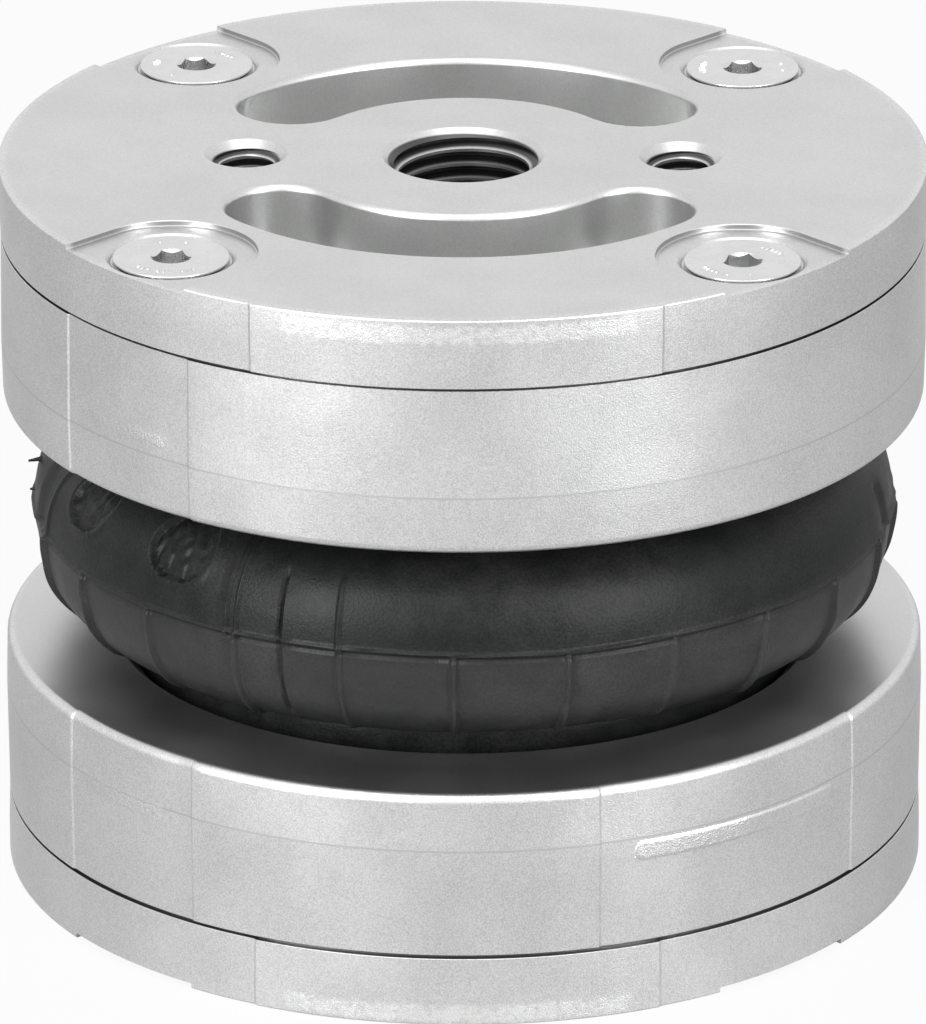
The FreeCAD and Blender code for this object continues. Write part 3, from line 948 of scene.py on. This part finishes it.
def blend_colours(tree, factor, first, second):
    """The mix of two colours."""
    node = add(tree, "ShaderNodeMix", data_type="RGBA")
    for socket, value in ((node.inputs[0], factor), (node.inputs[6], first), (node.inputs[7], second)):
        if isinstance(value, bpy.types.NodeSocket):
            tree.links.new(value, socket)
        elif isinstance(value, float):
            socket.default_value = value
        else:
            socket.default_value = (*value, 1.0)
    return node.outputs[2]


def new_group(name, inputs, outputs):
    """An empty node group with number inputs, a place input and number outputs."""
    group = bpy.data.node_groups.new(name, "ShaderNodeTree")
    group.interface.new_socket("Place", in_out="INPUT", socket_type="NodeSocketVector")
    for label, value in inputs:
        socket = group.interface.new_socket(label, in_out="INPUT", socket_type="NodeSocketFloat")
        socket.default_value = value
    for label in outputs:
        group.interface.new_socket(label, in_out="OUTPUT", socket_type="NodeSocketFloat")
    return group, group.nodes.new("NodeGroupInput").outputs, group.nodes.new("NodeGroupOutput").inputs


def put_out(group, target, value):
    group.links.new(value, target)


def parts_of(tree, place):
    """The X, Y and Z of a place."""
    return add(tree, "ShaderNodeSeparateXYZ", {"Vector": place}).outputs


def uneven(tree, place, size, detail, roughness=0.5):
    """Noise between 0 and 1 whose lumps have about the size."""
    scale = work(tree, "DIVIDE", 1.0, size)
    return add(tree, "ShaderNodeTexNoise", {"Vector": place, "Scale": scale, "Detail": detail,
                                            "Roughness": roughness}).outputs["Fac"]


def blasted_grain():
    """Fine dimples of bead blasting: a height, and a speckle that varies colour and gloss."""
    group, given, out = new_group("Blasted Grain", [("Grain Size", 0.16), ("Coarse Size", 0.5)],
                                  ["Height", "Speckle"])
    fine = uneven(group, given["Place"], given["Grain Size"], 1.0)
    coarse = uneven(group, given["Place"], given["Coarse Size"], 2.0)
    height = work(group, "MULTIPLY_ADD", coarse, 0.2, fine)
    put_out(group, out["Height"], height)
    put_out(group, out["Speckle"], ramp(group, height, 0.38, 0.82))
    return group


def between(tree, value, low, high, softness):
    """1 between low and high, with soft edges."""
    over = ramp(tree, work(tree, "SUBTRACT", value, low), -softness, softness)
    under = ramp(tree, work(tree, "SUBTRACT", high, value), -softness, softness)
    return times(tree, over, under)


def side_patch():
    """A mask that is 1 in blotches on a stretch of the part's side, with ragged edges."""
    group, given, out = new_group("Side Patch", [("First Angle", 0.0), ("Last Angle", 10.0), ("Low", 0.0),
                                                 ("High", 1.0), ("Ragged", 0.3)], ["Mask"])
    place = given["Place"]
    x, y, z = parts_of(group, place)
    rough = add(group, "ShaderNodeTexNoise", {"Vector": place, "Scale": 1.1, "Detail": 4.0}).outputs["Fac"]
    blotches = add(group, "ShaderNodeTexNoise", {"Vector": place, "Scale": 1.6, "Detail": 3.0}).outputs["Fac"]
    shift = times(group, work(group, "SUBTRACT", rough, 0.5), given["Ragged"])
    angle = work(group, "MULTIPLY_ADD", shift, 1.4, work(group, "DEGREES", work(group, "ARCTAN2", y, x)))
    across = between(group, angle, given["First Angle"], given["Last Angle"], 0.4)
    upright = between(group, work(group, "ADD", z, shift), given["Low"], given["High"], 0.25)
    put_out(group, out["Mask"], times(group, across, ramp(group, blotches, 0.3, 0.6, 0.25, 1.0), upright))
    return group


def depth_under_face(tree, z, middle):
    """How far a place is from the outer face of the nearer end."""
    return work(tree, "SUBTRACT", middle, work(tree, "ABSOLUTE", work(tree, "SUBTRACT", z, middle)))


def thread_shade():
    """A mask for painted shade, 1 in the roots of a thread, under the chamfer at its mouth, in both covers."""
    group, given, out = new_group("Thread Shade", [("Offset", 0.0), ("Crest", 5.0), ("Root", 6.0),
                                                   ("Mouth", 7.0), ("Middle", 32.0)], ["Mask"])
    x, y, z = parts_of(group, given["Place"])
    radius = length_of(group, work(group, "SUBTRACT", work(group, "ABSOLUTE", x), given["Offset"]), y)
    chamfer = work(group, "SUBTRACT", given["Mouth"], given["Root"])
    under = work(group, "SUBTRACT", depth_under_face(group, z, given["Middle"]), chamfer)
    groove = work(group, "DIVIDE", work(group, "SUBTRACT", radius, given["Crest"]),
                  work(group, "SUBTRACT", given["Root"], given["Crest"]))
    inside = times(group, ramp(group, groove, 0.05, 0.4), ramp(group, groove, 1.1, 1.3, 1.0, 0.0))
    put_out(group, out["Mask"], times(group, inside, ramp(group, under, 0.0, 0.15)))
    return group


def side_line():
    """A mask that is 1 on a line round the part, at a depth under the outer face of both ends."""
    group, given, out = new_group("Side Line", [("Depth", 6.0), ("Half Width", 0.1), ("Middle", 32.0)],
                                  ["Mask"])
    depth = depth_under_face(group, parts_of(group, given["Place"])["Z"], given["Middle"])
    off = work(group, "ABSOLUTE", work(group, "SUBTRACT", depth, given["Depth"]))
    outside = work(group, "SUBTRACT", off, given["Half Width"])
    put_out(group, out["Mask"], ramp(group, outside, 0.0, 0.04, 1.0, 0.0))
    return group


def cloudy_tone():
    """Slow uneven tone over a casting or a moulding."""
    group, given, out = new_group("Cloudy Tone", [("Cloud Size", 8.0)], ["Tone"])
    clouds = uneven(group, given["Place"], given["Cloud Size"], 3.0, 0.55)
    put_out(group, out["Tone"], ramp(group, clouds, 0.3, 0.7))
    return group


GROUP_MAKERS = {"Blasted Grain": blasted_grain, "Side Patch": side_patch, "Thread Shade": thread_shade,
                "Side Line": side_line, "Cloudy Tone": cloudy_tone}


def grouped(tree, name, place, **inputs):
    """The outputs of a group that reads the place, with the given values of its inputs."""
    node = tree.nodes.new("ShaderNodeGroup")
    node.node_tree = bpy.data.node_groups.get(name) or GROUP_MAKERS[name]()  # built when it is first used
    tree.links.new(place, node.inputs["Place"])
    for label, value in inputs.items():
        node.inputs[label.replace("_", " ")].default_value = value
    return node.outputs


def new_material(name):
    """A material with its shader, its tree and its place in millimetres."""
    material = bpy.data.materials.new(name)
    material.use_nodes = True
    tree = material.node_tree
    shader = tree.nodes["Principled BSDF"]
    coordinates = add(tree, "ShaderNodeTexCoord").outputs["Object"]
    place = add(tree, "ShaderNodeVectorMath", operation="SCALE")
    tree.links.new(coordinates, place.inputs[0])
    place.inputs["Scale"].default_value = 1 / MM
    return material, tree, shader, place.outputs[0]


def bump(tree, shader, height, strength, distance):
    node = add(tree, "ShaderNodeBump", {"Height": height, "Strength": strength, "Distance": distance * MM})
    tree.links.new(node.outputs["Normal"], shader.inputs["Normal"])


# Rough stretches of the castings' sides: first and last angle, low and high
COVER_PATCHES = [(-111.0, -67.5, 61.9, 63.4), (-111.0, -68.0, 0.3, 1.8)]
RING_PATCHES = [(-143.0, -127.7, 49.1, 50.0), (-143.0, -129.3, 14.7, 16.0), (-67.4, -51.0, 13.9, 15.5)]


# How bright the painted shade leaves the seams, the parting lines, the thread roots and the walls of screw
# pockets
SEAM_SHADE, PARTING_SHADE, ROOT_SHADE, WALL_SHADE = 0.25, 0.84, 0.14, 0.5
# The middle of a pocket's wall under the face, where shade is painted, and half its height
WALL_DEPTH, WALL_HALF = 0.27, 0.17


def shaded(colour, level):
    """The colour at a level of its brightness."""
    return tuple(min(1.0, level * value) for value in colour)


def cast_metal(name, colour, c, o, patches, lines, threads, patch_grain, patch_tone):
    """Cast aluminium: blasted at its sides, finer on its faces, rough in the patches, and with shade painted
    into the lines round it, in the thread roots and on the walls of the screw pockets."""
    material, tree, shader, place = new_material(name)
    middle = c.overall / 2
    x, y, _ = parts_of(tree, place)
    reach = length_of(tree, x, y)
    side = ramp(tree, reach, c.plate_radius - 1.0, c.plate_radius - 0.3)
    face = work(tree, "SUBTRACT", 1.0, side)
    grain = grouped(tree, "Blasted Grain", place, Grain_Size=0.13, Coarse_Size=0.5)
    tone = grouped(tree, "Cloudy Tone", place, Cloud_Size=9.0)["Tone"]
    rough = 0.0
    for first, last, low, high in patches:
        mask = grouped(tree, "Side Patch", place, First_Angle=first, Last_Angle=last, Low=low, High=high,
                       Ragged=0.9)["Mask"]
        rough = work(tree, "MAXIMUM", rough, mask)
    rough = times(tree, rough, side)
    # the blasting is a little deeper on the right
    side_grain = work(tree, "MULTIPLY_ADD", ramp(tree, x, -16.0, 14.0), 0.35, 0.3)
    strength = work(tree, "MULTIPLY_ADD", side, side_grain, 0.12)
    strength = work(tree, "MULTIPLY_ADD", rough, patch_grain, strength)
    bump(tree, shader, times(tree, grain["Height"], strength), 0.55, 0.05)
    speckle = times(tree, grain["Speckle"], work(tree, "MULTIPLY_ADD", side, 0.5, 0.4))
    speckle = work(tree, "MULTIPLY_ADD", rough, patch_tone, speckle)
    mottled = blend_colours(tree, work(tree, "MULTIPLY_ADD", tone, 0.2, speckle), shaded(colour, 0.82),
                            shaded(colour, 1.12))
    # painted shade: the seam gap between cover and ring and the ring's parting crease are darkened in the
    # colour
    for depth, half_width, level in lines:
        line = grouped(tree, "Side Line", place, Depth=depth, Half_Width=half_width, Middle=middle)["Mask"]
        mottled = blend_colours(tree, line, mottled, shaded(colour, level))
    # painted shade on the walls of the screw pockets
    pocket = grouped(tree, "Side Line", place, Depth=WALL_DEPTH, Half_Width=WALL_HALF, Middle=middle)["Mask"]
    inmost = c.screw_circle - o.pocket_radius
    pocket = times(tree, pocket, ramp(tree, reach, inmost - 1.05, inmost - 0.25), face)
    mottled = blend_colours(tree, pocket, mottled, shaded(colour, WALL_SHADE))
    # painted shade: the roots of the port's and mounting holes' threads are darkened in the colour
    for offset, crest, root, mouth in threads:
        roots = grouped(tree, "Thread Shade", place, Offset=offset, Crest=crest, Root=root, Mouth=mouth,
                        Middle=middle)["Mask"]
        mottled = blend_colours(tree, roots, mottled, shaded(colour, ROOT_SHADE))
    tree.links.new(mottled, shader.inputs["Base Color"])
    gloss = work(tree, "MULTIPLY_ADD", tone, 0.04, work(tree, "MULTIPLY_ADD", side, 0.02, 0.33))
    tree.links.new(work(tree, "MULTIPLY_ADD", rough, 0.08, gloss), shader.inputs["Roughness"])
    shader.inputs["Metallic"].default_value = 1.0
    return material


def plated_metal(name, colour, roughness):
    """Smooth plated steel with faint turning marks and a little mottling."""
    material, tree, shader, place = new_material(name)
    tone = grouped(tree, "Cloudy Tone", place, Cloud_Size=1.6)["Tone"]
    grain = grouped(tree, "Blasted Grain", place, Grain_Size=0.09, Coarse_Size=0.4)
    mottled = work(tree, "MULTIPLY_ADD", grain["Speckle"], 0.5, times(tree, tone, 0.5))
    tree.links.new(blend_colours(tree, mottled, shaded(colour, 0.88), colour), shader.inputs["Base Color"])
    tree.links.new(work(tree, "MULTIPLY_ADD", tone, 0.08, roughness), shader.inputs["Roughness"])
    shader.inputs["Metallic"].default_value = 1.0
    bump(tree, shader, grain["Height"], 0.25, 0.02)
    return material


def moulded_rubber(name, colour, bloom, roughness):
    """Moulded rubber with a faint bloom, slow shine and a fine skin texture, and with painted light: a paler
    band under the parting rib that fades darker towards the lower ring.
    """
    material, tree, shader, place = new_material(name)
    tone = grouped(tree, "Cloudy Tone", place, Cloud_Size=3.5)["Tone"]
    wide = grouped(tree, "Cloudy Tone", place, Cloud_Size=14.0)["Tone"]
    grain = grouped(tree, "Blasted Grain", place, Grain_Size=0.22, Coarse_Size=1.2)
    z = parts_of(tree, place)["Z"]
    # painted light: paler under the parting rib, and painted shade where it fades out again towards the lower
    # ring
    below = times(tree, ramp(tree, z, 31.0, 34.0, 0.45, 0.0), ramp(tree, z, 23.5, 29.0))
    dust_and_painted_light = times(tree, work(tree, "MULTIPLY_ADD", grain["Speckle"], 0.35, times(tree, tone, 0.2)),
                 work(tree, "MULTIPLY_ADD", wide, 0.5, 0.3))
    dust_and_painted_light = work(tree, "ADD", dust_and_painted_light, below)
    # the dust mottles and the painted light of the lower half both blend towards the pale colour
    tree.links.new(blend_colours(tree, dust_and_painted_light, colour, bloom), shader.inputs["Base Color"])
    tree.links.new(work(tree, "MULTIPLY_ADD", tone, 0.12, roughness), shader.inputs["Roughness"])
    shader.inputs["Specular IOR Level"].default_value = 0.16
    bump(tree, shader, grain["Height"], 0.5, 0.05)
    return material


CORD_RADIUS = 37.0  # where the cords' slope is 45 degrees
CORD_WAVES = 6.0  # how closely the cords lie, in radians per millimetre


def cord_fabric(name, colour):
    """Two crossed layers of cord, as diagonal waves round the axis."""
    material, tree, shader, place = new_material(name)
    x, y, z = parts_of(tree, place)
    around = times(tree, work(tree, "ARCTAN2", y, x), CORD_RADIUS)
    waves = [work(tree, "SINE", times(tree, work(tree, "MULTIPLY_ADD", z, side, around), CORD_WAVES))
             for side in (1.0, -1.0)]
    weave = ramp(tree, work(tree, "MAXIMUM", *waves), -0.4, 1.0)
    tree.links.new(blend_colours(tree, weave, shaded(colour, 0.5), colour), shader.inputs["Base Color"])
    shader.inputs["Roughness"].default_value = 0.85
    bump(tree, shader, weave, 0.6, 0.15)
    return material


def material(slot):
    """The finish for a slot, built when it is first used."""
    name = f"{slot}_finish"
    if name in bpy.data.materials:
        return bpy.data.materials[name]
    f = measured(bpy.context.scene.actuator_finish)
    o = measured(bpy.context.scene.actuator_openings)
    c = measured(bpy.context.scene.actuator_castings)
    # the port and the mounting holes, whose thread roots get painted shade
    threads = [(0.0, o.port_crest, o.port_radius, o.port_mouth),
               (o.hole_offset, o.hole_crest, o.hole_radius, o.hole_mouth)]
    # painted shade along the seam gap and along the rings' parting crease
    seam = (c.rim_thickness - c.seam_gap / 2, c.seam_gap / 2, SEAM_SHADE)
    parting = (c.rim_thickness + c.parting, c.parting_width / 2, PARTING_SHADE)
    makers = {
        "cast_cover": lambda: cast_metal(name, f.cover_metal, c, o, COVER_PATCHES, [seam], threads,
                                         patch_grain=0.6, patch_tone=0.3),
        "cast_ring": lambda: cast_metal(name, f.ring_metal, c, o, RING_PATCHES, [seam, parting], [],
                                        patch_grain=1.6, patch_tone=-0.4),
        "zinc_screw": lambda: plated_metal(name, f.screw_metal, 0.24),
        "bead_wire": lambda: plated_metal(name, f.wire_metal, 0.45),
        "cover_rubber": lambda: moulded_rubber(name, f.rubber, f.rubber_bloom, 0.36),
        "liner_rubber": lambda: moulded_rubber(name, f.liner, f.rubber_bloom, 0.5),
        "ply_fabric": lambda: cord_fabric(name, f.ply),
    }
    return makers[slot]()


# Operators

class ACTUATOR_OT_covers(Operator):
    """Builds the two cover plates"""

    bl_idname = "actuator.covers"
    bl_label = "Cover Plates"

    def execute(self, context):
        c = measured(context.scene.actuator_castings)
        o = measured(context.scene.actuator_openings)
        for end, body in zip(ENDS, ("base", "top")):
            add_piece(f"{end}_cover", cover_mesh(end, c, o), material("cast_cover"),
                      [f"{end}_cover_plate"], body)
        return {"FINISHED"}


class ACTUATOR_OT_rings(Operator):
    """Builds the two clamp rings"""

    bl_idname = "actuator.rings"
    bl_label = "Clamp Rings"

    def execute(self, context):
        c = measured(context.scene.actuator_castings)
        for end, body in zip(ENDS, ("base", "top")):
            add_piece(f"{end}_ring", ring_mesh(end, c), material("cast_ring"),
                      [f"{end}_clamp_ring"], body)
        return {"FINISHED"}


class ACTUATOR_OT_screws(Operator):
    """Builds the eight countersunk screws"""

    bl_idname = "actuator.screws"
    bl_label = "Screws"

    def execute(self, context):
        c = measured(context.scene.actuator_castings)
        s = measured(context.scene.actuator_screws)
        for end, body in zip(ENDS, ("base", "top")):
            for number in SCREW_NUMBERS:
                node = f"{end}_screw_{number}"
                low, high = (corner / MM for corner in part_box(node))
                centre = (low + high) / 2
                head = Vector((centre.x, centre.y, high.z if end == "top" else low.z))
                look = SCREW_LOOKS[end, quarter(screw_angle(end, number))]
                place = Matrix.Translation(head) @ end_place(end, 0) @ Matrix.Translation((0, 0, s.head_rise))
                add_piece(f"{end}_socket_screw_{number}", moved(screw_mesh(s, *look), place),
                          material("zinc_screw"), [node], body)
        return {"FINISHED"}


class ACTUATOR_OT_bellows(Operator):
    """Builds the three layers of the bellows, which stretch between the ends"""

    bl_idname = "actuator.bellows"
    bl_label = "Bellows"

    def execute(self, context):
        c = measured(context.scene.actuator_castings)
        r = measured(context.scene.actuator_rubber)
        ply_depth = r.cover_thickness
        liner_depth = ply_depth + r.ply_thickness
        inner_depth = liner_depth + r.liner_thickness
        ply = rubber_shell(c, r, ply_depth, liner_depth)
        liner = rubber_shell(c, r, liner_depth, inner_depth)
        layers = [
            ("bellows_rubber", bellows_cover(c, r), "cover_rubber", "bellows_outer_cover"),
            ("bellows_cord_ply", ply, "ply_fabric", "bellows_fabric_ply"),
            ("bellows_liner", liner, "liner_rubber", "bellows_inner_liner"),
        ]
        for name, mesh, slot, node in layers:
            layer = add_piece(name, mesh, material(slot), [node], sharp=50.0)
            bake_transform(layer)
        return {"FINISHED"}


class ACTUATOR_OT_bead_cores(Operator):
    """Gives the wire rings in the beads their finish"""

    bl_idname = "actuator.bead_cores"
    bl_label = "Bead Wires"

    def execute(self, context):
        for end in ENDS:
            core = frame["nodes"][f"{end}_bead_core"]
            if not core.material_slots:
                core.data.materials.append(None)
            for slot in core.material_slots:
                slot.material = material("bead_wire")
        return {"FINISHED"}


# Soft lights: name, angle round the part from its front, elevation, distance, width, height and power
LIGHTS = [
    ("left_window", -38.2, 22.0, 0.75, 0.2, 0.62, 5.7),
    ("right_window", 42.8, 22.0, 0.75, 0.2, 0.62, 4.2),
    ("overhead", 0.0, 68.0, 0.8, 0.7, 0.7, 2.0),
]


def add_light(name, around, elevation, distance, width, height, power, aim_height):
    """A soft rectangular light that looks at the part's middle and isn't seen itself."""
    data = bpy.data.lights.new(name, "AREA")
    data.shape = "RECTANGLE"
    data.size = width
    data.size_y = height
    data.energy = power
    light = placed(name, data)
    back = toward(around, elevation)
    light.location = Vector((0, 0, aim_height * MM)) + back * distance
    light.rotation_euler = (-back).to_track_quat("-Z", "Y").to_euler()
    light.visible_camera = False


def ray_kinds(tree, *kinds):
    """1 for rays of any of the kinds."""
    path = tree.nodes.new("ShaderNodeLightPath").outputs
    total = path[kinds[0]]
    for kind in kinds[1:]:
        total = work(tree, "MAXIMUM", total, path[kind])
    return total


def paint_world(room_light):
    """White where the camera, metal or glass sees it, and an even plain light on everything else."""
    world = bpy.data.worlds.new("white_room")
    bpy.context.scene.world = world
    world.use_nodes = True
    tree = world.node_tree
    tree.nodes.clear()
    white = add(tree, "ShaderNodeBackground", {"Color": (1, 1, 1, 1), "Strength": 1.0})
    soft = add(tree, "ShaderNodeBackground", {"Color": (1, 1, 1, 1), "Strength": room_light})
    seen = ray_kinds(tree, "Is Camera Ray", "Is Glossy Ray", "Is Transmission Ray")
    mix = add(tree, "ShaderNodeMixShader", {"Fac": seen})
    tree.links.new(soft.outputs[0], mix.inputs[1])
    tree.links.new(white.outputs[0], mix.inputs[2])
    out = add(tree, "ShaderNodeOutputWorld")
    tree.links.new(mix.outputs[0], out.inputs["Surface"])


def floor_finish(t):
    """Pale matt floor that the camera sees as white but for the part's shadow."""
    floor_material = bpy.data.materials.new("pale_floor")
    floor_material.use_nodes = True
    tree = floor_material.node_tree
    tree.nodes.clear()
    matt = add(tree, "ShaderNodeBsdfDiffuse", {"Color": (t.floor_colour, t.floor_colour, t.floor_colour, 1)})
    white = add(tree, "ShaderNodeEmission", {"Color": (1, 1, 1, 1), "Strength": 1.0})
    seen = times(tree, ray_kinds(tree, "Is Camera Ray"), t.floor_white)
    mirrored = times(tree, ray_kinds(tree, "Is Glossy Ray", "Is Transmission Ray"), t.floor_mirrored)
    mix = add(tree, "ShaderNodeMixShader", {"Fac": work(tree, "MAXIMUM", seen, mirrored)})
    tree.links.new(matt.outputs[0], mix.inputs[1])
    tree.links.new(white.outputs[0], mix.inputs[2])
    out = add(tree, "ShaderNodeOutputMaterial")
    tree.links.new(mix.outputs[0], out.inputs["Surface"])
    return floor_material


def add_camera(t):
    """The camera at the photograph's viewing angle."""
    turned_by, roll = math.radians(t.azimuth), math.radians(t.roll)
    back = toward(t.azimuth, t.elevation)
    right = Vector((math.cos(turned_by), math.sin(turned_by), 0))
    up = back.cross(right)
    rolled_right = right * math.cos(roll) - up * math.sin(roll)
    rolled_up = right * math.sin(roll) + up * math.cos(roll)
    place = Matrix((rolled_right, rolled_up, back)).transposed().to_4x4()
    place.translation = (Vector((0, 0, t.aim_height)) + right * t.aim_offset + back * t.distance) * MM
    data = bpy.data.cameras.new("camera")
    data.lens = t.focal_length
    data.sensor_width = 36.0
    data.clip_start = 0.05
    data.clip_end = 20.0
    camera = placed("camera", data)
    camera.matrix_world = place
    bpy.context.scene.camera = camera


class ACTUATOR_OT_stage(Operator):
    """Sets up the floor, the lights, the room and the camera"""

    bl_idname = "actuator.stage"
    bl_label = "Stage"

    def execute(self, context):
        t = measured(context.scene.actuator_stage)
        mesh = bmesh.new()
        bmesh.ops.create_grid(mesh, x_segments=1, y_segments=1, size=t.floor_size * MM / 2)
        data = settled("floor", mesh)
        data.materials.append(floor_finish(t))
        placed("floor", data)
        paint_world(t.room_light)
        for light in LIGHTS:
            add_light(*light, t.light_aim)
        add_camera(t)
        context.scene.view_settings.view_transform = "Standard"
        return {"FINISHED"}


class ACTUATOR_PT_sidebar(Panel):
    """The actuator's sizes and the buttons that build it"""

    bl_idname = "ACTUATOR_PT_sidebar"
    bl_label = "Air Bellows Actuator"
    bl_space_type = "VIEW_3D"
    bl_region_type = "UI"
    bl_category = "Actuator"

    def draw(self, context):
        for operator in OPERATORS:
            self.layout.operator(operator.bl_idname)
        for name, group in PIECE_GROUPS.items():
            box = self.layout.box()
            box.label(text=group.__doc__)
            for prop in group.__annotations__:
                box.prop(getattr(context.scene, name), prop)


OPERATORS = (ACTUATOR_OT_covers, ACTUATOR_OT_rings, ACTUATOR_OT_screws, ACTUATOR_OT_bellows,
             ACTUATOR_OT_bead_cores, ACTUATOR_OT_stage)
CLASSES = tuple(PIECE_GROUPS.values()) + OPERATORS + (ACTUATOR_PT_sidebar,)


def register():
    for cls in CLASSES:
        bpy.utils.register_class(cls)
    for name, group in PIECE_GROUPS.items():
        setattr(bpy.types.Scene, name, PointerProperty(type=group))


def unregister():
    for name in PIECE_GROUPS:
        delattr(bpy.types.Scene, name)
    for cls in reversed(CLASSES):
        bpy.utils.unregister_class(cls)


def main():
    register()
    bpy.ops.actuator.covers()
    bpy.ops.actuator.rings()
    bpy.ops.actuator.screws()
    bpy.ops.actuator.bellows()
    bpy.ops.actuator.bead_cores()
    bpy.ops.actuator.stage()


if __name__ == "__main__":
    main()
